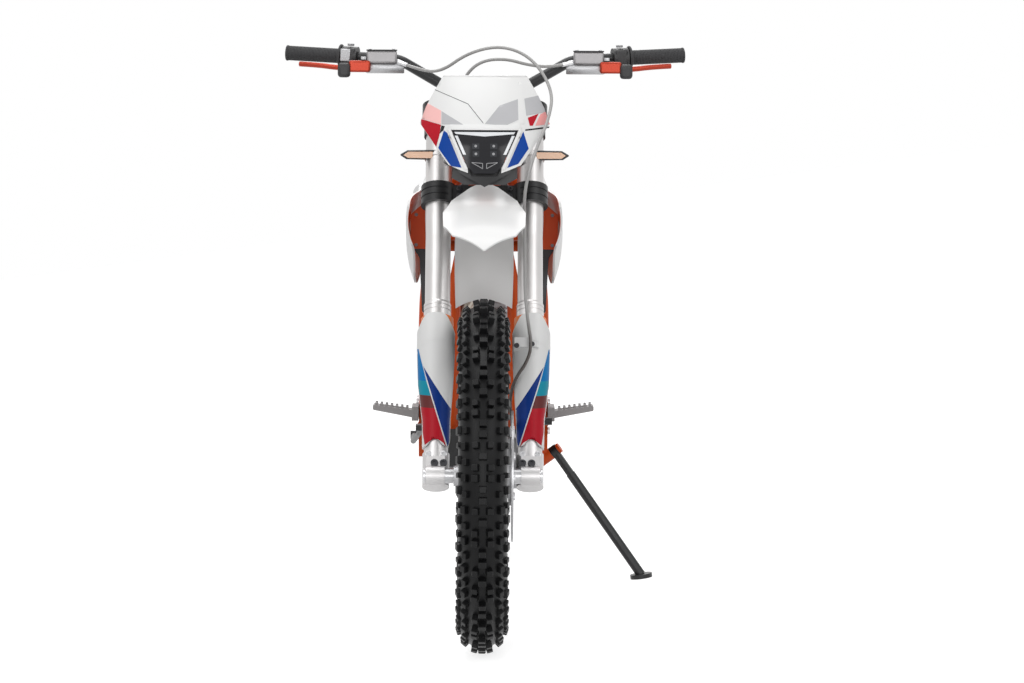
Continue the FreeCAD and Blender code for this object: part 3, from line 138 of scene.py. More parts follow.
clear, mix = fresh(nodes, "Background", Color=white), fresh(nodes, "MixShader")
dim = tuned(nodes["Background"], Color=white, Strength=0.4)
links.new(seen_white(nodes, links), mix.inputs[0])
links.new(dim.outputs[0], mix.inputs[1])
links.new(clear.outputs[0], mix.inputs[2])
links.new(mix.outputs[0], nodes["World Output"].inputs["Surface"])

bpy.ops.object.select_all(action="DESELECT")
bpy.ops.mesh.primitive_plane_add(size=40, location=(0, 0, -0.0005))
floor = bpy.context.object
floor.name = "floor"
floor_paint = bpy.data.materials.new("floor_white")
floor_paint.use_nodes = True
nodes, links = floor_paint.node_tree.nodes, floor_paint.node_tree.links
matt = tuned(nodes["Principled BSDF"], Base_Color=(0.5, 0.5, 0.5, 1.0), Roughness=0.9)
glow = fresh(nodes, "Emission", Color=(0.78, 0.78, 0.78, 1.0))
links.new(seen_white(nodes, links), glow.inputs["Strength"])
both = fresh(nodes, "AddShader")
links.new(matt.outputs[0], both.inputs[0])
links.new(glow.outputs[0], both.inputs[1])
links.new(both.outputs[0], nodes["Material Output"].inputs["Surface"])
floor.data.materials.append(floor_paint)

for name, spot, size, power in (("key", (-3.2, -5.0, 4.6), 3.0, 85.0), ("fill", (3.8, -4.2, 3.2), 3.0, 65.0),
                                ("front", (0.0, -6.8, 1.4), 2.6, 70.0), ("back", (0.5, 4.8, 4.6), 3.5, 120.0),
                                ("top", (0.0, -0.3, 4.6), 2.8, 70.0)):
    lamp_data = bpy.data.lights.new(name, "AREA")
    lamp_data.size = size
    lamp_data.energy = power
    lamp = bpy.data.objects.new(name, lamp_data)
    lamp.location = spot
    lamp.rotation_euler = (Vector((0, 0, 0.6)) - Vector(spot)).to_track_quat("-Z", "Y").to_euler()
    scene.collection.objects.link(lamp)

# %% [markdown]
# Each finish is a small node tree around one Principled shader. A noise in object coordinates varies the
# colour and the roughness, and a finer one gives the grain of moulded plastic or cast metal.

# %% Finishes


def finish(name, color, rough, metal=0.0, grain=300.0, bump=0.05, spread=0.12, tint=0.06, coat=0.0, shine=0.5):
    """A material whose colour and roughness vary a little, with a fine grain."""
    paint = bpy.data.materials.new(name)
    paint.use_nodes = True
    nodes, links = paint.node_tree.nodes, paint.node_tree.links
    shader = tuned(nodes["Principled BSDF"], Metallic=metal, Coat_Weight=coat, Specular_IOR_Level=shine)
    place = fresh(nodes, "TexCoord")
    broad = fresh(nodes, "TexNoise", Scale=9.0, Detail=4.0)
    links.new(place.outputs["Object"], broad.inputs["Vector"])
    ramp = fresh(nodes, "ValToRGB")
    ramp.color_ramp.elements[0].position = 0.3
    ramp.color_ramp.elements[1].position = 0.7
    ramp.color_ramp.elements[0].color = tuple(c * (1 - tint) for c in color) + (1.0,)
    ramp.color_ramp.elements[1].color = tuple(min(1.0, c * (1 + tint)) for c in color) + (1.0,)
    links.new(broad.outputs["Fac"], ramp.inputs["Fac"])
    links.new(ramp.outputs["Color"], shader.inputs["Base Color"])
    gloss = fresh(nodes, "MapRange", To_Min=max(0.02, rough - spread), To_Max=min(1.0, rough + spread))
    links.new(broad.outputs["Fac"], gloss.inputs["Value"])
    links.new(gloss.outputs[0], shader.inputs["Roughness"])
    fine = fresh(nodes, "TexNoise", Scale=grain, Detail=3.0)
    links.new(place.outputs["Object"], fine.inputs["Vector"])
    relief = fresh(nodes, "Bump", Strength=bump, Distance=0.001)
    links.new(fine.outputs["Fac"], relief.inputs["Height"])
    links.new(relief.outputs["Normal"], shader.inputs["Normal"])
    return paint


material_names = {"tyre": "tyre_rubber", "hose_black": "hose_sleeve", "tread": "tread_rubber",
                  "amber": "amber_lens", "seam": "seam_thread"}
paint_rows = (
    ("tyre", (0.006, 0.006, 0.0065), 0.38, dict(grain=500, bump=0.25, spread=0.06, shine=0.16)),
    ("rim_black", (0.02, 0.02, 0.022), 0.3, dict(metal=0.6)),
    ("cast_silver", (0.42, 0.42, 0.43), 0.42, dict(metal=0.9, grain=700, bump=0.2)),
    ("disc_steel", (0.5, 0.5, 0.51), 0.3, dict(metal=1.0, grain=900, bump=0.1)),
    ("sprocket_steel", (0.2, 0.2, 0.21), 0.4, dict(metal=0.9)),
    ("black_metal", (0.018, 0.018, 0.019), 0.36, dict(metal=0.4)),
    ("fork_silver", (0.6, 0.585, 0.58), 0.36, dict(metal=0.95, bump=0.02, spread=0.04)),
    ("wiper_orange", (0.86, 0.2, 0.025), 0.35, dict()),
    ("leg_silver", (0.58, 0.57, 0.57), 0.4, dict(metal=0.9, grain=800, bump=0.2)),
    ("white_plastic", (0.76, 0.76, 0.755), 0.34, dict(bump=0.02, tint=0.01, shine=0.4)),
    ("grip_rubber", (0.03, 0.03, 0.032), 0.7, dict(bump=0.4)),
    ("black_plastic", (0.02, 0.02, 0.021), 0.5, dict(grain=900, bump=0.25)),
    ("tank_grey", (0.3, 0.29, 0.295), 0.4, dict(metal=0.5, bump=0.04)),
    ("lever_red", (0.36, 0.035, 0.014), 0.34, dict(metal=0.6)),
    ("lamp_dark", (0.011, 0.011, 0.014), 0.12, dict(shine=0.3)),
    ("hose_black", (0.05, 0.047, 0.045), 0.45, dict()),
    ("frame_orange", (0.66, 0.085, 0.012), 0.4, dict(bump=0.08, shine=0.25)),
    ("arm_silver", (0.5, 0.5, 0.51), 0.38, dict(metal=0.9, grain=600, bump=0.12)),
    ("shock_white", (0.7, 0.7, 0.69), 0.35, dict(coat=0.2)),
    ("engine_grey", (0.13, 0.13, 0.135), 0.5, dict(metal=0.7, grain=700, bump=0.4)),
    ("exhaust_steel", (0.42, 0.38, 0.33), 0.32, dict(metal=1.0, tint=0.2)),
    ("silencer_aluminium", (0.48, 0.48, 0.48), 0.34, dict(metal=0.95)),
    ("tank_dark", (0.03, 0.03, 0.033), 0.45, dict(bump=0.15)),
    ("seat_cover", (0.02, 0.02, 0.022), 0.6, dict(grain=450, bump=0.5)),
    ("peg_steel", (0.24, 0.23, 0.23), 0.55, dict(metal=0.8, bump=0.4)),
    ("tread", (0.005, 0.005, 0.0055), 0.4, dict(grain=400, bump=0.25, tint=0.12, spread=0.06, shine=0.2)),
    ("bolt_steel", (0.55, 0.55, 0.56), 0.3, dict(metal=1.0)),
    # bolt_dark also colours the thin line of painted shade in the mask's crease.
    ("bolt_dark", (0.06, 0.06, 0.065), 0.35, dict(metal=0.8)),
    ("film_pink", (0.88, 0.5, 0.48), 0.4, dict(bump=0.02, shine=0.3)),
    ("film_rose", (0.82, 0.34, 0.33), 0.4, dict(bump=0.02, shine=0.3)),
    ("film_grey", (0.46, 0.46, 0.475), 0.4, dict(bump=0.03, shine=0.3)),
    ("lamp_white", (0.72, 0.74, 0.76), 0.2, dict(bump=0.01, coat=0.5)),
    ("lamp_well", (0.045, 0.047, 0.052), 0.2, dict(metal=0.5, shine=0.3)),
    ("button_grey", (0.32, 0.32, 0.33), 0.4, dict()),
    ("amber", (0.78, 0.42, 0.22), 0.2, dict(bump=0.02, coat=0.5)),
    ("tail_red", (0.42, 0.01, 0.012), 0.15, dict(coat=0.6)),
    # fin_dark colours the radiator fins and also the painted shade on the lower radiator guards.
    ("fin_dark", (0.035, 0.035, 0.037), 0.45, dict(metal=0.6)),
    ("seam", (0.12, 0.12, 0.125), 0.7, dict(grain=900, bump=0.4)),
)
deep_films = (("sky", (0.002, 0.17, 0.45)), ("teal", (0.01, 0.27, 0.38)), ("navy", (0.001, 0.03, 0.2)),
              ("brown", (0.13, 0.03, 0.03)), ("red", (0.44, 0.008, 0.02)), ("blue", (0.001, 0.05, 0.3)))
paints = {key: finish(material_names.get(key, key), color, rough, **more) for key, color, rough, more in paint_rows}
for title, color in deep_films:
    paints["film_" + title] = finish("film_" + title, color, 0.4, bump=0.02, shine=0.15)
for subpart in frame["record"]["subparts"]:
    node = frame["nodes"][subpart["node"]]
    node.data.materials.clear()
    node.data.materials.append(paints[subpart["material_slot"]])
print("finishes", len(paints))

# %% [markdown]
# Most new pieces are small and are repeated. Each is made once with Blender's own tools, at the origin with
# its axis upright, and then copied to its places. These helpers do the copying, lay a piece that was
# planned on the upright bike into the leaning one, and hand it to the body that it rides on.

# %% Helpers for selecting, forming and placing
shift = Matrix.Translation


def active(obj):
    """Selects one object and nothing else."""
    if bpy.context.object and bpy.context.object.mode == "EDIT":
        bpy.ops.object.mode_set(mode="OBJECT")
    bpy.ops.object.select_all(action="DESELECT")
    obj.select_set(True)
    bpy.context.view_layer.objects.active = obj
    return obj


def editing(obj):
    """Opens one object's mesh for editing."""
    active(obj)
    bpy.ops.object.mode_set(mode="EDIT")
    return obj


def shut():
    """Leaves the editing of a mesh."""
    bpy.ops.object.mode_set(mode="OBJECT")


def whole():
    """Selects the whole mesh that is being edited."""
    bpy.ops.mesh.select_all(action="SELECT")


def pick(obj, test):
    """In edit mode, selects the faces whose middle and normal pass a test."""
    bpy.ops.mesh.select_mode(type="FACE")
    mesh = bmesh.from_edit_mesh(obj.data)
    for face in mesh.faces:
        face.select_set(bool(test(face.calc_center_median(), face.normal)))
    mesh.select_flush_mode()
    bmesh.update_edit_mesh(obj.data)


def made(add, **options):
    """A new mesh from one of Blender's primitives, with nothing else selected."""
    bpy.ops.object.select_all(action="DESELECT")
    add(**options)
    return bpy.context.object


def formed(obj, angle=35.0):
    """Puts the object's place into its mesh and smooths its flat angles."""
    obj.data.transform(obj.matrix_basis)
    obj.matrix_basis = Matrix()
    active(obj)
    bpy.ops.object.shade_smooth_by_angle(angle=math.radians(angle))
    return obj


def modified(obj, kind, **settings):
    """Gives a piece a modifier with its settings and applies it."""
    modifier = active(obj).modifiers.new(kind, kind)
    for name, value in settings.items():
        setattr(modifier, name, value)
    bpy.ops.object.modifier_apply(modifier=modifier.name)
    return obj


def softened(obj, width, segments=2):
    """Rounds the edges of a piece."""
    return modified(obj, "BEVEL", width=width, segments=segments, limit_method="ANGLE",
                    angle_limit=math.radians(35))


def settle(obj, name, body, *finishes):
    """Names a piece, lays it into the leaning bike and lets it ride on a body."""
    obj.name = name
    obj.data.name = name
    obj.data.transform(upright @ obj.matrix_basis)
    obj.matrix_basis = Matrix()
    obj.data.materials.clear()
    for paint in finishes:
        obj.data.materials.append(paints[paint])
    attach(obj, body)
    return obj


def scatter(piece, places, name, body, *finishes):
    """Copies a piece to its places as one joined mesh, and takes the pattern away."""
    copies = []
    for place in places:
        copy = piece.copy()
        copy.data = piece.data.copy()
        copy.matrix_basis = place
        scene.collection.objects.link(copy)
        copies.append(copy)
    bpy.data.objects.remove(piece)
    bpy.context.view_layer.update()
    active(copies[0])
    for copy in copies:
        copy.select_set(True)
    if len(copies) > 1:
        bpy.ops.object.join()
    return settle(copies[0], name, body, *finishes)


def joined(pieces, name):
    """Joins pieces of one kind."""
    active(pieces[0])
    for piece in pieces[1:]:
        piece.select_set(True)
    bpy.ops.object.join()
    pieces[0].name = name
    return pieces[0]


def aim(at, direction):
    """A place whose Z axis points along a direction."""
    return shift(Vector(at)) @ Vector(direction).to_track_quat("Z", "Y").to_matrix().to_4x4()


nose_way = Vector((0, -1, 0))
ahead_way = Vector((0.0, -math.cos(rake), math.sin(rake)))
stem_way = Vector((0.0, math.sin(rake), math.cos(rake)))


def plug(radius, height, sides=28, rounding=0.0006):
    """A plain round boss along Z, with its foot at the origin."""
    boss = formed(made(bpy.ops.mesh.primitive_cylinder_add, vertices=sides, radius=radius, depth=height,
                       location=(0, 0, height / 2)))
    return formed(softened(boss, rounding))


def cap_screw(radius, height):
    """A cap screw's head along Z, with a six-sided socket."""
    screw = plug(radius, height, 24, 0.12 * radius)
    editing(screw)
    pick(screw, lambda at, normal: normal.z > 0.99 and at.z > 0.9 * height and at.xy.length < 0.1 * radius)
    bpy.ops.mesh.inset(thickness=0.36 * radius)
    bpy.ops.mesh.extrude_region_move(TRANSFORM_OT_translate={"value": (0, 0, -0.5 * height)})
    shut()
    return formed(screw)


def hex_head(radius, height):
    """A six-sided bolt head with a round washer face, along Z."""
    head = plug(radius, height, 6, 0.08 * radius)
    editing(head)
    pick(head, lambda at, normal: normal.z < -0.99)
    bpy.ops.mesh.extrude_region_move(TRANSFORM_OT_translate={"value": (0, 0, 0)})
    bpy.ops.transform.resize(value=(1.15, 1.15, 1.0), center_override=(0, 0, 0))
    shut()
    return formed(head)


def slab(size, rounding):
    """A block with rounded edges about the origin."""
    block = made(bpy.ops.mesh.primitive_cube_add, size=1)
    block.scale = size
    return formed(softened(formed(block), rounding, 3))


def turned(profile, steps=64):
    """A shape turned about Z from its (radius, height) outline."""
    shape = made(bpy.ops.mesh.primitive_circle_add, vertices=len(profile), radius=1)
    for vertex, (radius, height) in zip(shape.data.vertices, profile):
        vertex.co = (radius, 0.0, height)
    editing(shape)
    whole()
    bpy.ops.mesh.spin(steps=steps, angle=math.radians(360.0), center=(0, 0, 0), axis=(0, 0, 1))
    whole()
    bpy.ops.mesh.remove_doubles(threshold=0.00001)
    bpy.ops.mesh.normals_make_consistent(inside=False)
    shut()
    return formed(shape)


surfaces = {}


def skin_tree(mesh, inside=Matrix()):
    """A mesh's faces as a tree that rays can be sent at, laid by a matrix."""
    return BVHTree.FromPolygons([inside @ v.co for v in mesh.vertices], [p.vertices[:] for p in mesh.polygons])


def first_hit(node, across, up_by):
    """The point and normal of a node's surface, seen from ahead at a height and a distance from the middle."""
    if node not in surfaces:
        solid = frame["nodes"][node]
        surfaces[node] = skin_tree(solid.data, upright.inverted() @ solid.matrix_world)
    return surfaces[node].ray_cast(Vector((across, -2.0, up_by)), Vector((0, 1, 0)))[:2]


def copy_of(node, name):
    """A copy of a node's mesh as an object of its own, in the upright bike's frame."""
    solid = frame["nodes"][node]
    copy = bpy.data.objects.new(name, solid.data.copy())
    scene.collection.objects.link(copy)
    copy.data.transform(upright.inverted() @ solid.matrix_world)
    return active(copy)


def thickened(move):
    """In edit mode, gives a sheet its thickness along a direction, turns its faces outwards and leaves."""
    whole()
    bpy.ops.mesh.extrude_region_move(TRANSFORM_OT_translate={"value": move})
    whole()
    bpy.ops.mesh.normals_make_consistent(inside=False)
    shut()


def line_of(name, kind, points, radius, resolution, body, paint):
    """A round line through points of the upright bike, straight or smooth with closed ends, on a body."""
    curve = bpy.data.curves.new(name, "CURVE")
    curve.dimensions = "3D"
    curve.bevel_depth = radius
    curve.bevel_resolution = resolution
    line = curve.splines.new(kind)
    line.points.add(len(points) - 1)
    for knot, point in zip(line.points, points):
        knot.co = (upright @ Vector(point)).to_tuple() + (1.0,)
    if kind == "NURBS":
        curve.resolution_u, curve.use_fill_caps = 10, True
        line.order_u, line.use_endpoint_u = 3, True
    tube = bpy.data.objects.new(name, curve)
    scene.collection.objects.link(tube)
    curve.materials.append(paints[paint])
    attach(tube, body)
    return tube


print("helpers ready")

# %% [markdown]
# A knobbly tyre is a round carcass with separate rubber blocks. The carcass is one section turned about the
# axle. Every block is a cube that narrows a little towards its top, with its edges broken, leaned over the
# crown and turned round the wheel. Both follow the layout that the solid tyres have.

# %% Tyres


def tread_block(length, width, height, root=0.004):
    """One tapered block along Z, rooted a little under the carcass."""
    block = made(bpy.ops.mesh.primitive_cube_add, size=1, location=(0, 0, 0.5))
    block.scale = (width, length, height + root)
    block.location.z = (height + root) / 2 - root
    editing(formed(block))
    pick(block, lambda at, normal: normal.z > 0.9)
    bpy.ops.transform.resize(value=(0.86, 0.84, 1.0), center_override=(0, 0, height))
    bpy.ops.mesh.inset(thickness=0.0014)
    bpy.ops.transform.translate(value=(0, 0, 0.0003))
    shut()
    return formed(softened(block, 0.0007, 1), 25)


def tyre(node, body, axle, radius, width, bead, rim_width, units, layout):
    """A carcass with its rows of blocks, about an axle across the bike."""
    carcass = radius - 0.012
    crown = width / 2 - 0.005
    arc = [math.radians(a) for a in range(0, 91, 9)]
    half = [(carcass - crown + crown * math.cos(a), crown * math.sin(a)) for a in arc]
    side_wall = [(bead + 0.030, 0.955 * crown), (bead + 0.026, 0.97 * crown), (bead + 0.022, 0.92 * crown)]
    seat = rim_width / 2 - 0.003
    half += side_wall + [(bead + 0.009, seat + 0.003), (bead, seat)]
    profile = half + [(r, -x) for r, x in reversed(half[1:])]
    skin = turned(profile, 120)
    skin.data.transform(Matrix.Rotation(math.pi / 2, 4, "Y"))
    skin.data.transform(shift(axle))
    rows = []
    for part, lean, length, wide, height in layout:
        places = []
        for i in range(units):
            turn = Matrix.Rotation(2 * math.pi * (i + part) / units, 4, "X")
            for way in (both_ways if lean else (1,)):
                tip = Matrix.Rotation(math.radians(way * lean), 4, "Y")
                places.append(shift(axle) @ turn @ shift((0, 0, carcass - crown))
                              @ tip @ shift((0, 0, crown)))
        rows.append((tread_block(length, wide, height), places))
    settle(skin, node + "_carcass", body, "tyre")
    blocks = [scatter(block, places, node + "_row_" + str(number), body, "tread")
              for number, (block, places) in enumerate(rows)]
    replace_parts(skin, node)
    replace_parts(joined(blocks, node + "_blocks"), node)
    print(node, "blocks", sum(len(places) for block, places in rows))


tyre("front_tyre", "front_wheel", front_hub, 0.35, 0.104, 0.267, 0.056, 17,
     [(0.0, 16, 0.015, 0.014, 0.012), (0.34, 0, 0.015, 0.017, 0.012), (0.67, 0, 0.015, 0.017, 0.012),
      (0.5, 44, 0.017, 0.013, 0.009), (0.2, 72, 0.018, 0.015, 0.006),
      (0.17, 0, 0.014, 0.015, 0.0115), (0.5, 15, 0.014, 0.013, 0.0115), (0.84, 16, 0.014, 0.013, 0.0115),
      (0.0, 43, 0.016, 0.013, 0.009), (0.25, 40, 0.014, 0.012, 0.009), (0.75, 41, 0.014, 0.012, 0.009),
      (0.7, 72, 0.018, 0.015, 0.006), (0.45, 70, 0.012, 0.013, 0.0055), (0.95, 70, 0.012, 0.013, 0.0055)])
tyre("rear_tyre", "rear_wheel", rear_hub, 0.34, 0.124, 0.229, 0.064, 16,
     [(0.0, 20, 0.017, 0.020, 0.012), (0.5, 0, 0.017, 0.024, 0.012),
      (0.5, 44, 0.020, 0.016, 0.010), (0.0, 70, 0.022, 0.017, 0.0065),
      (0.25, 17, 0.016, 0.018, 0.0115), (0.75, 17, 0.016, 0.018, 0.0115), (0.0, 46, 0.018, 0.014, 0.0095),
      (0.25, 46, 0.016, 0.014, 0.0095), (0.75, 46, 0.016, 0.014, 0.0095), (0.5, 70, 0.020, 0.015, 0.006)])

# %% [markdown]
# The wheels need their small parts: a nipple where each spoke enters the rim, a valve, and the bolts that
# hold the discs and the sprocket. Each kind is one small mesh copied round the axle.

# %% Wheel fittings


def ring_places(centre, count, radius, facing, offset=0.0):
    """Places in a circle about a centre, facing across the bike."""
    places = []
    for i in range(count):
        turn = 2 * math.pi * (i + offset) / count
        at = Vector(centre) + Vector((0, math.cos(turn), math.sin(turn))) * radius
        places.append(aim(at, (facing, 0, 0)))
    return places


def nipples(name, body, axle, bead):
    """Spoke nipples inside a rim, at the ends of the crossed spokes."""
    places = []
    for way in both_ways:
        for i in range(18):
            start = math.radians(360.0 * (i + 0.25 * way) / 18)
            end = start + math.radians(34.0 if i % 2 else -34.0)
            ray = Vector((0, math.cos(end), math.sin(end)))
            places.append(aim(axle + ray * (bead - 0.027) + Vector((way * 0.004, 0, 0)), ray))
    scatter(plug(0.0034, 0.0145, 8, 0.0004), places, name, body, "disc_steel")


nipples("front_nipples", "front_wheel", front_hub, 0.267)
nipples("rear_nipples", "rear_wheel", rear_hub, 0.229)
for piece, hub, radius, across, facing, name, body in (
        (cap_screw(0.0055, 0.004), front_hub, 0.046, 0.060, 1, "front_disc_bolts", "front_wheel"),
        (cap_screw(0.0055, 0.004), rear_hub, 0.041, -0.070, -1, "rear_disc_bolts", "rear_wheel"),
        (hex_head(0.006, 0.005), rear_hub, 0.057, 0.081, 1, "sprocket_bolts", "rear_wheel")):
    scatter(piece, ring_places(hub + Vector((across, 0, 0)), 6, radius, facing), name, body, "bolt_steel")
print("nipples and disc bolts placed")

# %% [markdown]
# The fork carries many small fasteners: pinch screws on the cast feet, clamp screws on the dark clamps,
# adjusters on top of the tubes, and screws through the plastic guards. They are placed by their distance
# across, ahead of and along the steering axis, because that is how a fork is drawn.

# %% Fork fittings
leg_across, leg_ahead = 0.0935, 0.022
bright = [first_hit("fork_legs", way * x, 0.3895)[0] for way in both_ways for x in (0.0775, 0.1085)]
dark = [first_hit("fork_legs", way * x, 0.3745)[0] for way in both_ways for x in (0.078, 0.096)]
clamps = [fork_place(way * 0.052, 0.042, along) for way in both_ways for along in (0.975, 0.992, 1.1675, 1.181)]
caps = [fork_place(way * leg_across, leg_ahead, 1.196) for way in both_ways]
risers = [fork_place(x + dx, 0.016 + d, 1.248) for x in (0.045, -0.045) for dx in (-0.008, 0.008)
          for d in (-0.014, 0.014)]
fork_screws = ((cap_screw(0.0062, 0.004), bright, ahead_way, "pinch_screws_bright", "bolt_steel"),
               (cap_screw(0.0076, 0.005), dark, ahead_way, "pinch_screws_dark", "bolt_dark"),
               (cap_screw(0.0048, 0.005), clamps, ahead_way, "clamp_screws", "bolt_dark"),
               (hex_head(0.0195, 0.006), caps, stem_way, "fork_caps", "black_metal"),
               (cap_screw(0.008, 0.012), caps, stem_way, "fork_adjusters", "lever_red"),
               (hex_head(0.016, 0.010), [fork_place(0, 0, 1.188)], stem_way, "stem_nut", "bolt_steel"),
               (cap_screw(0.0048, 0.005), risers, stem_way, "riser_screws", "bolt_dark"))
for piece, places, facing, name, paint in fork_screws:
    scatter(piece, [aim(at, facing) for at in places], name, "steered", paint)
axle_ends = [aim(front_hub + Vector((way * 0.1145, 0, 0)), (way, 0, 0)) for way in both_ways]
ring = turned([(0.0065, 0.0), (0.0145, 0.0), (0.0145, 0.003), (0.013, 0.0042), (0.0065, 0.0042)], 40)
scatter(ring, axle_ends, "axle_end_rings", "steered", "bolt_steel")
print("fork fittings", sum(len(row[1]) for row in fork_screws))

# %% [markdown]
# The mask and the fork guards carry coloured film. Each field is cut out of a copy of the panel itself,
# by planes through its edges, so it follows every curve of the plastic. It then gets a small thickness of
# its own, like a real sticker.

# %% Fields of film


def trimmed(outline):
    """Cuts the mesh in edit mode down to a convex outline of (across, up) points."""
    area = sum(a[0] * b[1] - b[0] * a[1] for a, b in zip(outline, outline[1:] + outline[:1]))
    for a, b in zip(outline, outline[1:] + outline[:1]):
        edge = Vector((b[0] - a[0], 0, b[1] - a[1]))
        outward = Vector((edge.z, 0, -edge.x)).normalized() * (1 if area > 0 else -1)
        whole()
        bpy.ops.mesh.bisect(plane_co=(a[0], 0, a[1]), plane_no=outward, clear_outer=True)


def skin_of(node, outline, facing, thick):
    """A thin sheet that copies a node's surface inside a convex outline of (across, up) points."""
    copy = editing(copy_of(node, "film"))
    whole()
    bpy.ops.mesh.remove_doubles(threshold=0.000001)
    pick(copy, lambda at, normal: normal.dot(facing) < 0.25)
    bpy.ops.mesh.delete(type="FACE")
    trimmed(outline)
    whole()
    bpy.ops.mesh.remove_doubles(threshold=0.00002)
    thickened(facing * thick)
    return formed(copy, 50)


def film(node, body, paint, outlines, name, thick=0.0005):
    """Fields of film, painted shade or raised edges of one kind on a panel's front, outlined in millimetres."""
    pieces = [settle(skin_of(node, milli(outline), nose_way, thick), name, body, paint) for outline in outlines]
    return joined(pieces, name)


def milli(points):
    """Millimetres to metres."""
    return [(x / 1000.0, z / 1000.0) for x, z in points]


def mirrored(outlines):
    """The outlines, each with its mirror image across the bike."""
    return [[(way * x, z) for x, z in outline] for outline in outlines for way in both_ways]


def ribbon(points, width):
    """Convex four-sided strips of one width along a line of (across, up) points, in millimetres."""
    strips = []
    for a, b in zip(points, points[1:]):
        run = Vector((b[0] - a[0], b[1] - a[1])).normalized() * width / 2
        strips.append([(a[0] - run.y, a[1] + run.x), (b[0] - run.y, b[1] + run.x),
                       (b[0] + run.y, b[1] - run.x), (a[0] + run.y, a[1] - run.x)])
    return strips


mask_edge = [(90, 1141), (110, 1108), (120, 1082), (131, 1050), (130, 1040), (96, 993), (72, 960), (48, 950),
             (34, 945)]
shell = skin_of("headlight_mask", milli(mask_edge + [(-x, z) for x, z in reversed(mask_edge)]), nose_way, -0.0028)
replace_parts(settle(shell, "mask_shell", "steered", "white_plastic"), "headlight_mask")

mask_fields = (
    ("pink", "film_pink", [[(-117, 1082), (-88, 1067), (-88, 1040), (-128, 1051)]]),
    ("red", "film_red", [[(-129, 1050), (-88, 1039), (-91, 1018), (-97, 995), (-128, 1038)],
                         [(86, 1054), (108, 1062), (96, 1038), (90, 1038)]]),
    ("rose", "film_rose", [[(123, 1067), (133, 1043), (132, 1041), (101, 1038), (111, 1060)]]),
    ("grey", "film_grey", [[(-87, 1066), (-43, 1040), (-87, 1040)],
                           [(0, 1042), (29, 1078), (66, 1091), (67, 1050), (45, 1040), (21, 1040)],
                           [(79, 1092), (112, 1099), (123, 1081), (127, 1066), (107, 1062), (83, 1058)]]),
    ("blue", "film_blue", [[(-82, 1028), (-75, 1023), (-46, 955), (-67, 958), (-93, 993)],
                           [(77, 1027), (88, 993), (67, 963), (45, 955)]]),
    ("dark", "lamp_dark", [[(81, 1031), (136, 1037), (136, 1034), (81, 1028)],
                           [(-87, 1038), (-75, 1035), (-83, 1028), (-94, 995), (-96, 997)]]),
)
for title, paint, outlines in mask_fields:
    fields = film("headlight_mask", "steered", paint, outlines, "mask_" + title)
    print(title, "fields", len(outlines), "faces", len(fields.data.polygons))

# %% [markdown]
# The headlight is a dark reflector behind a clear front. Its light comes from a bar across the top, two
# slanted strips, four small lamps in two rows and a low oval. All are thin pale pieces on the dark body, and
# a raised white edge of the mask frames it. The bracket behind it is cut along two slanting planes that meet
# at the photo's short tip. They run on to the sides, and so they shorten its lower arms too.

# %% Headlight
mask_stations = ((0.895, -0.652, -0.548), (1.0, -0.618, -0.520), (1.07, -0.578, -0.486), (1.16, -0.505, -0.428))
mask_half = 0.15


def mask_depth(across, height):
    """How far back the mask's face lies: arcs between its stations."""
    for low, high in zip(mask_stations, mask_stations[1:]):
        if height <= high[0] or high is mask_stations[-1]:
            share = (height - low[0]) / (high[0] - low[0])
            middle, edge = (low[i] + (high[i] - low[i]) * share for i in (1, 2))
            break
    radius = (mask_half ** 2 + (edge - middle) ** 2) / (2 * (edge - middle))
    return middle + radius - math.sqrt(radius ** 2 - across ** 2)


def deepened(sheet, deep, rounding):
    """Gives a sheet its depth backwards and rounds its edges where asked."""
    editing(sheet)
    thickened((0, deep, 0))
    if rounding:
        softened(sheet, rounding)
    return formed(sheet)


def face_panel(outline, proud, deep, rounding=0.0):
    """A panel that follows the mask's face inside a convex outline, standing proud of it."""
    panel = editing(formed(made(bpy.ops.mesh.primitive_grid_add, x_subdivisions=30, y_subdivisions=20,
                                size=2 * mask_half, location=(0, 0, 1.0), rotation=(math.pi / 2, 0, 0))))
    trimmed(outline)
    shut()
    for vertex in panel.data.vertices:
        vertex.co.y = mask_depth(vertex.co.x, vertex.co.z) - proud
    return deepened(panel, deep, rounding)


def panels(outlines, proud, deep, name, paint, rounding=0.0):
    """Several panels of one kind as one piece that turns with the fork."""
    pieces = [settle(face_panel(milli(outline), proud, deep, rounding), name, "steered", paint)
              for outline in outlines]
    return joined(pieces, name)


lens = [(67, 1029), (33, 955), (21, 944), (-21, 944), (-33, 955), (-67, 1029)]
top_edge = [(-70, 1040), (70, 1040), (75, 1031), (68, 1029.5), (-68, 1029.5), (-75, 1031)]
side_edge = [(68, 1030), (75, 1031), (40, 951), (33.5, 952)]
top_bar = [(-61, 1025.5), (61, 1025.5), (58, 1021.5), (0, 1017), (-58, 1021.5)]
side_strip = [(60, 1018), (54, 1018), (37, 981), (43, 981)]
wells = [[(25, 1003), (11, 1003), (11, 992), (25, 992)], [(24, 988), (11, 988), (11, 977), (24, 977)]]
low_oval = ribbon([(4, 964), (26, 965.5), (4, 953.5), (4, 964)], 1.2)
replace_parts(panels([lens], 0.0035, 0.033, "headlight_glass", "lamp_dark"), "headlight")
panels([top_edge] + mirrored([side_edge]), 0.0060, 0.0070, "lamp_frame", "white_plastic", 0.0008)
panels([top_bar] + mirrored([side_strip]), 0.0043, 0.0014, "lamp_strips", "lamp_white")
panels(mirrored(wells), 0.0040, 0.0010, "lamp_wells", "lamp_well")
panels(mirrored(low_oval), 0.0041, 0.0012, "lamp_oval", "button_grey")
spots = [aim((way * x, mask_depth(x, z) - 0.0041, z), nose_way) for way in both_ways
         for x, z in ((0.018, 0.998), (0.0175, 0.9825))]
scatter(plug(0.0027, 0.0012, 20, 0.0003), spots, "lamp_spots", "steered", "button_grey")
carrier = [(60, 966), (66, 934), (40, 921), (-40, 921), (-66, 934), (-60, 966)]
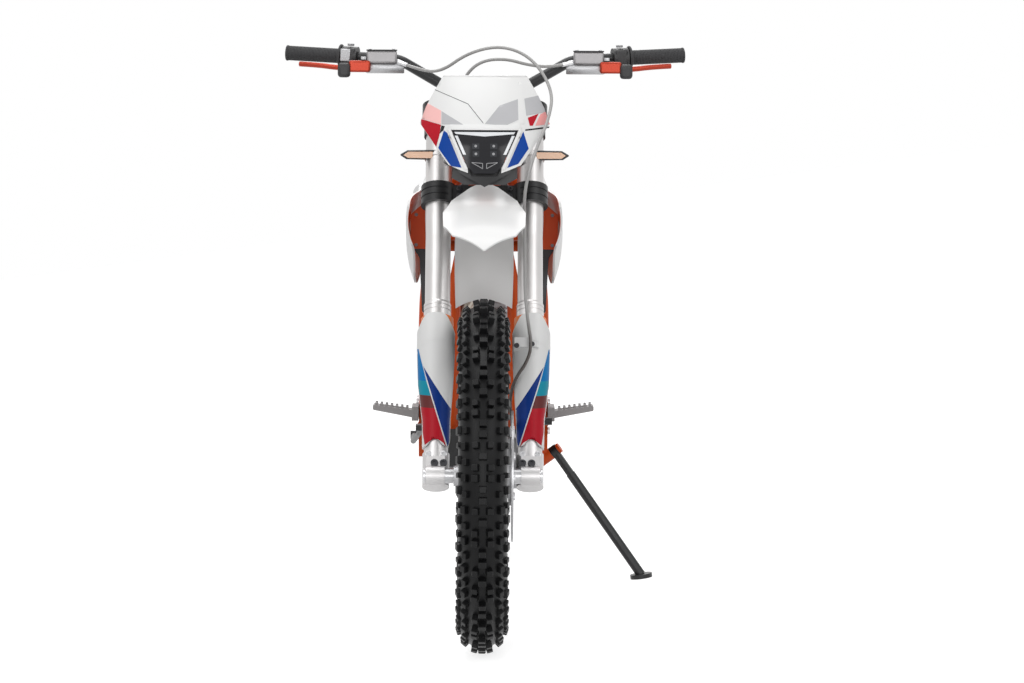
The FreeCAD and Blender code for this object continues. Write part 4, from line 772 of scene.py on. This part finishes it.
panels([carrier], -0.0095, 0.0030, "mask_carrier", "black_plastic")
bracket, tip = editing(copy_of("mask_bracket", "bracket")), Vector((0, 0, 0.917))
for way in both_ways:
    below = Vector((way * 13, 0, -24)).normalized()
    whole()
    bpy.ops.mesh.bisect(plane_co=tip, plane_no=below, clear_outer=True, use_fill=True)
shut()
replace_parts(settle(bracket, "mask_bracket_plate", "steered", "black_metal"), "mask_bracket")
print("headlight", len(lens), "corners", len(spots), "spots")

# %% [markdown]
# The mask is folded. A thin dark line of painted shade marks the crease from the upper corner at the bike's right
# down to the lamp, and raised strips along the top edge and beside the grey fields catch the light as such folds
# do.

# %% Folds of the mask, with the painted shade of its crease
# Painted shade: a thin dark line along the mask's crease, in the dark bolt finish.
crease_shade_lines = ribbon([(-107, 1111), (-34, 1081), (-3, 1043)], 1.2)
folds = ribbon([(-84, 1137), (84, 1137)], 2.2) + ribbon([(72, 1125), (74, 1042)], 9.0)
film("headlight_mask", "steered", "bolt_dark", crease_shade_lines, "mask_crease_shade", 0.0003)
film("headlight_mask", "steered", "white_plastic", folds, "mask_folds", 0.0010)
print("folds", len(crease_shade_lines) + len(folds))

# %% [markdown]
# Each fork guard wears the same film, mirrored: a blue field that turns teal, a dark blue one, a brown line
# and a red panel, with the white of the plastic left between them.

# %% Film on the fork guards
guard_fields = (
    ("film_sky", [[(130.5, 590), (142, 590), (142, 530), (113.9, 530)]]),
    ("film_teal", [[(113.9, 530), (142, 530), (142, 502), (104.8, 502)]]),
    ("film_navy", [[(120.5, 558), (58, 465), (58, 390), (68.5, 398)]]),
    ("film_brown", [[(104.8, 502), (135, 502), (130, 478), (97, 478)]]),
    ("film_red", [[(97, 478), (130, 478), (122.6, 440), (84.6, 440)],
                  [(106, 440), (122.6, 440), (116, 406), (106, 414.5)],
                  [(90, 440), (106, 440), (106, 414.5), (90, 418.5)],
                  [(84.6, 440), (90, 440), (90, 418.5), (79, 411.7), (75.5, 411.7)],
                  [(75.5, 411.7), (79, 411.7), (72.1, 401)]]),
)
for paint, outlines in guard_fields:
    fields = film("fork_guards", "steered", paint, mirrored(outlines), "guard_" + paint)
    print(paint, len(fields.data.polygons))
guard_edge = ((125, 598), (110, 609), (95, 613), (80, 611), (62, 603))
edges = [strip for way in both_ways for strip in ribbon([(way * x, z) for x, z in guard_edge], 1.6)]
film("fork_guards", "steered", "white_plastic", edges, "guard_folds", 0.0008)
screws = [aim(*first_hit("fork_guards", across, height)) for across, height in ((0.066, 0.600), (0.097, 0.603))]
scatter(cap_screw(0.0052, 0.003), screws, "hose_clamp_screws", "steered", "bolt_dark")

# %% [markdown]
# A held hose is a smooth curve. It is a NURBS line through the same points as the solid one, with a round
# section, and a metal end where it enters a cylinder or the caliper.

# %% Hoses


def hose(name, points, radius, paint):
    """A smooth round hose with closed ends through the route's points, given in millimetres."""
    return line_of(name, "NURBS", [Vector(point) / 1000.0 for point in points], radius, 5, "steered", paint)


def two_tone(paint, high_color, low_color, from_height, to_height):
    """Blends a finish from one colour below to another above, by height."""
    nodes, links = paint.node_tree.nodes, paint.node_tree.links
    parts = fresh(nodes, "SeparateXYZ")
    place = next(node for node in nodes if node.type == "TEX_COORD")
    links.new(place.outputs["Object"], parts.inputs[0])
    span = fresh(nodes, "MapRange", From_Min=from_height, From_Max=to_height)
    links.new(parts.outputs["Z"], span.inputs["Value"])
    ramp = fresh(nodes, "ValToRGB")
    ramp.color_ramp.elements[0].color = tuple(low_color) + (1.0,)
    ramp.color_ramp.elements[1].color = tuple(high_color) + (1.0,)
    links.new(span.outputs[0], ramp.inputs["Fac"])
    links.new(ramp.outputs["Color"], nodes["Principled BSDF"].inputs["Base Color"])


two_tone(paints["hose_black"], (0.36, 0.355, 0.35), (0.075, 0.062, 0.056), 0.57, 0.66)
brake_route = [(-181, -344, 1164), (-138, -372, 1148), (-92, -410, 1142), (-34, -440, 1184), (36, -456, 1199),
               (98, -474, 1172), (138, -512, 1106), (128, -558, 1050), (106, -602, 1002), (91, -624, 956),
               (80, -610, 908), (80, -572, 850), (82, -568, 780), (82, -592, 706), (88, -612, 650),
               (96, -634, 600), (86, -648, 568), (66, -646, 540), (56, -628, 512), (53, -616, 480),
               (58, -616, 446), (60, -622, 412)]
clutch_route = [(181, -344, 1164), (138, -366, 1154), (90, -392, 1158), (40, -412, 1172), (-12, -414, 1166),
                (-46, -404, 1130), (-52, -392, 1080), (-48, -392, 1030)]
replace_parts(hose("brake_line", brake_route, 0.0032, "hose_black"), "front_brake_hose")
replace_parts(hose("clutch_line", clutch_route, 0.0032, "hose_black"), "clutch_hose")
ferrule = turned([(0.0, 0.0), (0.0052, 0.0), (0.0052, 0.010), (0.0043, 0.012), (0.0043, 0.026), (0.0, 0.026)], 24)
ends = []
for route in (brake_route, brake_route[::-1], clutch_route):
    a, b = [Vector(p) / 1000.0 for p in route[:2]]
    ends.append(aim(a, b - a))
scatter(ferrule, ends, "hose_ferrules", "steered", "bolt_steel")
print("hoses", len(brake_route) + len(clutch_route), "points")

# %% [markdown]
# A grip is a rubber sleeve with a ribbed outside, a broad flange inboard and a soft lip at its end. Its
# outline is drawn once, with a wave for the ribs, and turned about the bar.

# %% Grips
bar_y, bar_z = fork_place(0, 0.016, 1.228).yz
bend = Vector((0.178, bar_y + 0.012, bar_z + 0.062))
bar_end = Vector((0.412, bar_y + 0.062, bar_z + 0.074))
outward = (bar_end - bend).normalized()


def on_bar(distance, way=1):
    """A place on the bar, at a distance from its end, with Z along the bar towards that end."""
    at = bar_end - outward * distance
    return aim((way * at.x, at.y, at.z), (way * outward.x, outward.y, outward.z))


def on_both(distance):
    """The same place on both ends of the bar."""
    return [on_bar(distance, way) for way in both_ways]


grip_length, bore = 0.118, 0.0112
outline = [(0.0111, 0.0), (0.0111, grip_length), (0.0172, grip_length), (0.0176, 0.1165), (0.0176, 0.1145),
           (0.0166, 0.113)]
for i in range(34):
    rise = 0.1105 - i * 0.00315
    outline += [(0.0152, rise), (0.0152, rise - 0.0018), (0.0144, rise - 0.0021), (0.0144, rise - 0.0029)]
outline += [(0.0158, 0.0035), (0.0162, 0.002), (0.0158, 0.0)]
grip = turned([(r, grip_length - z) for r, z in outline], 40)
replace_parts(scatter(grip, on_both(grip_length), "ribbed_grips", "steered", "grip_rubber"), "grips")
flange = turned([(bore, 0.0), (0.0238, 0.0), (0.0245, 0.0012), (0.0245, 0.0034), (0.0232, 0.0046),
                 (bore, 0.0046)], 40)
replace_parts(scatter(flange, on_both(grip_length), "grip_flanges", "steered", "grip_rubber"), "grips")
ends = turned([(0.0, -0.0005), (0.009, -0.0005), (0.0108, 0.0003), (0.0108, 0.004), (0.0, 0.004)], 28)
scatter(ends, on_both(0.0035), "bar_plugs", "steered", "black_plastic")
print("grips", len(outline), "points in the outline")

# %% [markdown]
# Beside the grips sit the switch blocks and the lever clamps. Each block is two halves of a moulded case
# round the bar, with its push buttons. The reservoirs get a lid with two screws, and the lever turns in a
# black perch.

# %% Controls
for way in both_ways:
    place = on_bar(0.136, way)
    case = slab((0.042, 0.037, 0.027), 0.006)
    scatter(case, [place], "switch_case_" + side_names[way], "steered", "black_plastic")
    buttons = [place @ aim((dx, 0.022, 0.0), (0, 1, 0)) for dx in (0.010, -0.009)]
    scatter(plug(0.0048, 0.005, 24, 0.001), buttons, "switch_buttons_" + side_names[way], "steered", "button_grey")
face = slab((0.005, 0.025, 0.021), 0.0015)
face_place = on_bar(0.130, -1) @ shift((0.0205, 0.003, 0))
scatter(face, [face_place], "switch_face", "steered", "cast_silver")

perch_at = bar_end - outward * 0.170
barrel = perch_at + Vector((0, -0.040, -0.016)) - outward * 0.034


def beside(point, x=0.0, y=0.0, z=0.0):
    """Places on both sides of the bike, at an offset from a point."""
    return [shift((way * (point.x + x), point.y + y, point.z + z)) for way in both_ways]


rod = turned([(0.0, -0.046), (0.0115, -0.046), (0.0125, -0.044), (0.0125, 0.030), (0.0105, 0.034),
              (0.0105, 0.046), (0.0, 0.046)], 32)
barrels = [aim((way * barrel.x, barrel.y, barrel.z - 0.002), (way, 0, 0)) for way in both_ways]
clamp = turned([(bore, -0.008), (0.0172, -0.008), (0.0178, -0.006), (0.0178, 0.006), (0.0172, 0.008),
                (bore, 0.008)], 40)
for piece, places, name, paint in (
        (slab((0.062, 0.034, 0.026), 0.004), beside(barrel, z=0.019), "reservoirs", "tank_grey"),
        (rod, barrels, "master_barrels", "cast_silver"),
        (clamp, on_both(0.186), "master_clamps", "cast_silver"),
        (slab((0.015, 0.034, 0.014), 0.003), beside(perch_at, -0.016, -0.022, -0.010), "master_arms",
         "cast_silver")):
    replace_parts(scatter(piece, places, name, "steered", paint), "master_cylinders")
lever_line = ((-0.004, -0.060, -0.018), (0.030, -0.063, -0.023), (0.060, -0.061, -0.024), (0.100, -0.054, -0.021),
              (0.140, -0.044, -0.021))
for way in both_ways:
    points = [perch_at + outward * x + Vector((0, y, z)) for x, y, z in lever_line]
    route = [(way * p.x * 1000, p.y * 1000, p.z * 1000) for p in points]
    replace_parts(hose("lever_" + side_names[way], route, 0.0055, "lever_red"), "hand_levers")
lids = beside(barrel, z=0.033)
screw_places = [lid_at @ shift((dx, 0, 0.0015)) for lid_at in lids for dx in (-0.024, 0.024)]
for piece, places, name, paint in (
        (slab((0.026, 0.024, 0.030), 0.007), beside(perch_at, 0.044, -0.060, -0.026), "lever_perches",
         "black_plastic"),
        (slab((0.044, 0.020, 0.024), 0.004), beside(perch_at, 0.012, -0.058, -0.018), "lever_blocks", "lever_red"),
        (slab((0.063, 0.035, 0.003), 0.001), lids, "reservoir_lids", "black_metal"),
        (cap_screw(0.0032, 0.0018), screw_places, "reservoir_screws", "bolt_steel"),
        (hex_head(0.0062, 0.006), beside(perch_at, 0.004, -0.060, -0.004), "lever_pivots", "bolt_steel")):
    scatter(piece, places, name, "steered", paint)
print("controls placed on", len(both_ways), "sides")

# %% [markdown]
# The indicators are slim dark bodies with an amber strip of small lamps along the front.

# %% Indicators
lamps = fork_place(0.1205, 0.022, 1.066)


def prism(outline, front, back, rounding):
    """A straight piece with an outline of (across, up) points, between two depths."""
    piece = made(bpy.ops.mesh.primitive_circle_add, vertices=len(outline), radius=1, fill_type="NGON")
    for vertex, (across, height) in zip(piece.data.vertices, outline):
        vertex.co = (across, front, height)
    return deepened(piece, back - front, rounding)


body = [(100, 984.5), (158, 983.5), (174, 974), (160, 965), (100, 964), (88, 967), (62, 967), (62, 981), (88, 981)]
glass = [(106, 981), (156, 980.5), (166, 974), (157, 968), (106, 967.5)]
front = lamps.y - 0.022
for way in both_ways:
    case = prism([(way * x, z) for x, z in milli(body)], front, front + 0.019, 0.003)
    case = settle(case, "indicator_" + side_names[way], "steered", "black_plastic")
    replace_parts(case, "front_indicators")
    strip = prism([(way * x, z) for x, z in milli(glass)], front - 0.0012, front + 0.002, 0.0)
    settle(strip, "front_amber_strip_" + side_names[way], "steered", "amber")
band = turned([(0.0270, -0.004), (0.0292, -0.004), (0.0292, 0.004), (0.0270, 0.004)], 48)
bands = [aim(fork_place(way * leg_across, leg_ahead, 1.070), stem_way) for way in both_ways]
scatter(band, bands, "indicator_bands", "steered", "fork_silver")
tail_strips = beside(Vector((0.103, 0.9148, 0.936)))
scatter(slab((0.041, 0.003, 0.0088), 0.0012), tail_strips, "rear_amber_strips", "chassis", "amber")
tail = slab((0.056, 0.0024, 0.030), 0.004)
scatter(tail, [shift((0, 0.9258, 0.951))], "tail_lens", "chassis", "tail_red")
print("indicators at", round(lamps.z, 3))

# %% [markdown]
# The shrouds are white outside and show orange inner faces from ahead. The liner is the same film idea, on
# the faces that look inwards. The guards of the radiators carry two screws each, and the radiators have
# their thin cooling fins between the slats. A dark film over the lower part of each guard is painted shade.

# %% Shrouds and radiators
liners = []
for way in both_ways:
    field = [(way * 0.09, 0.70), (way * 0.09, 0.93), (way * 0.18, 0.93), (way * 0.18, 0.70)]
    liners.append(skin_of("radiator_shrouds", field, Vector((-way, 0, 0)), 0.0006))
settle(joined(liners, "shroud_liners"), "shroud_liners", "chassis", "frame_orange")
# Painted shade: a dark film over the lower part of each radiator guard, where the space between the fork and the
# frame lies in shade.
guard_shade_outline = [(70, 620), (160, 620), (160, 776), (70, 776)]
film("radiator_guards", "chassis", "fin_dark", mirrored([guard_shade_outline]), "radiator_guard_painted_shade", 0.0004)
screws = [aim(*first_hit("radiator_guards", way * 0.1415, height)) for way in both_ways
          for height in (0.846, 0.784)]
scatter(cap_screw(0.0036, 0.002), screws, "guard_screws", "chassis", "peg_steel")
lean_back = shift((0, -0.286, 0.753)) @ Matrix.Rotation(math.radians(-12), 4, "X")
fin_pitch = 0.00336
fins = [lean_back @ shift((way * 0.102, deep, -0.106 + i * fin_pitch))
        for way in both_ways for i in range(64) for deep in (-0.0012, 0.0372)]
scatter(slab((0.036, 0.0026, 0.0009), 0.0002), fins, "radiator_fins", "chassis", "fin_dark")
print("fins", len(fins))

# %% [markdown]
# The engine is one closed block with its covers. Cast covers get a raised rim and a ring of screws, the
# head has its cover screws and the joints between the castings.

# %% Engine
clutch, pump = Vector((-0.106, -0.010, 0.452)), Vector((-0.096, -0.128, 0.440))
ignition = Vector((0.094, -0.118, 0.450))
rims = []
for centre, radius, facing in ((clutch, 0.058, -1), (pump, 0.042, -1), (ignition, 0.054, 1),
                               (ignition + Vector((0.008, 0, 0)), 0.036, 1)):
    rim = turned([(radius - 0.007, 0.0), (radius, 0.0), (radius, 0.0016), (radius - 0.0015, 0.003),
                  (radius - 0.0055, 0.003), (radius - 0.007, 0.0016)], 72)
    rim.matrix_basis = aim(centre, (facing, 0, 0))
    rims.append(settle(rim, "cover_rim", "chassis", "engine_grey"))
joined(rims, "cover_rims")
cover_screws = (ring_places(clutch, 8, 0.050, -1) + ring_places(pump, 6, 0.036, -1, 0.5)
                + ring_places(ignition, 8, 0.046, 1, 0.25) + ring_places((0.086, -0.196, 0.500), 3, 0.018, 1))
scatter(cap_screw(0.0046, 0.004), cover_screws, "cover_screws", "chassis", "bolt_steel")
foot, top = Vector((0, -0.122, 0.560)), Vector((0, -0.168, 0.792))
tilt = aim(foot, (top - foot).normalized())
head_screws = [tilt @ shift((x, y, (top - foot).length)) for x in (-0.043, 0.043)
               for y in (-0.040, 0.040)]
scatter(hex_head(0.006, 0.006), head_screws, "head_screws", "chassis", "bolt_steel")
ribs = [tilt @ shift((0, 0, h)) for h in (0.100, 0.112, 0.124, 0.136, 0.148)]
scatter(slab((0.119, 0.119, 0.003), 0.001), ribs, "head_ribs", "chassis", "cast_silver")
case_screws = [aim((case_side, y, z), (case_side, 0, 0)) for case_side in (0.0645, -0.0725)
               for y, z in ((-0.222, 0.392), (-0.224, 0.446), (-0.180, 0.532), (0.060, 0.512), (0.084, 0.392))]
scatter(cap_screw(0.005, 0.004), case_screws, "case_screws", "chassis", "bolt_steel")
print("engine screws", len(cover_screws) + len(head_screws) + len(case_screws))

# %% [markdown]
# The header pipe is welded from bends: each joint shows as a fine bead. The silencer keeps its solid.

# %% Exhaust
weld = turned([(0.0178, -0.0012), (0.0187, -0.0008), (0.0191, 0.0), (0.0187, 0.0008), (0.0178, 0.0012)], 40)
welds = [aim(Vector((-94, y, z)) / 1000.0, (0, run, rise)) for y, z, run, rise in
         ((-40, 596.9, 180, 16), (20, 602.5, 180, 16), (140, 631.5, 120, 42))]
scatter(weld, welds, "header_welds", "chassis", "exhaust_steel")
print("welds", len(welds))

# %% [markdown]
# The seat is a foam block under a stretched cover. A slightly smaller copy of the solid is remeshed evenly
# and blown up by cloth pressure until it fills the solid's space, which rounds it as real foam does. Two
# stitched seams are then laid on its skin.

# %% Seat
seat = editing(copy_of("seat", "seat_pad"))
whole()
bpy.ops.mesh.remove_doubles(threshold=0.000001)
shut()
middle = sum((Vector(corner) for corner in seat.bound_box), Vector()) / 8
slimmer = Matrix.Diagonal((0.95, 0.985, 0.94, 1))
seat.data.transform(shift(middle) @ slimmer @ shift(-middle))
modified(seat, "REMESH", mode="VOXEL", voxel_size=0.006)
most_swelling = 0.005
start = [vertex.co.copy() for vertex in seat.data.vertices]
cloth = seat.modifiers.new("foam", "CLOTH")
cloth.settings.use_pressure = True
cloth.settings.uniform_pressure_force = 4.0
cloth.settings.effector_weights.gravity = 0.0
for number in range(1, 21):
    scene.frame_set(number)
swollen = seat.evaluated_get(bpy.context.evaluated_depsgraph_get()).to_mesh()
ends = [vertex.co.copy() for vertex in swollen.vertices]
seat.modifiers.remove(cloth)
scene.frame_set(1)
for vertex, a, b in zip(seat.data.vertices, start, ends):
    move = b - a
    vertex.co = a + move * min(1.0, most_swelling / max(move.length, 0.000001))
modified(seat, "SUBSURF", levels=1)
formed(seat, 60)
seat_skin = skin_tree(seat.data)
settle(seat, "seat_pad", "chassis", "seat_cover")
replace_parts(seat, "seat")
print("seat", len(seat.data.polygons))


def piping(name, rays):
    """A round seam laid on the seat where rays meet it."""
    points = []
    for start, way in rays:
        hit = seat_skin.ray_cast(Vector(start), Vector(way).normalized())[0]
        if hit:
            points.append(hit)
    line_of(name, "POLY", points, 0.0011, 2, "chassis", "seam")
    return len(points)


for number, y in enumerate((0.125, 0.345)):
    arc = [((0, y, 0.90), (math.cos(a), 0, math.sin(a))) for a in (math.radians(d) for d in range(-6, 187, 4))]
    print("seam", piping("seat_seam_" + str(number), arc))

# %% [markdown]
# The remaining trim is four bolts on the frame's plates.

# %% Trim
frame_bolts = [aim((way * 0.1402, y, z), (way, 0, 0)) for way in both_ways
               for y, z in ((0.136, 0.536), (0.110, 0.360))]
scatter(hex_head(0.008, 0.006), frame_bolts, "frame_bolts", "chassis", "bolt_steel")
print("frame bolts", len(frame_bolts))
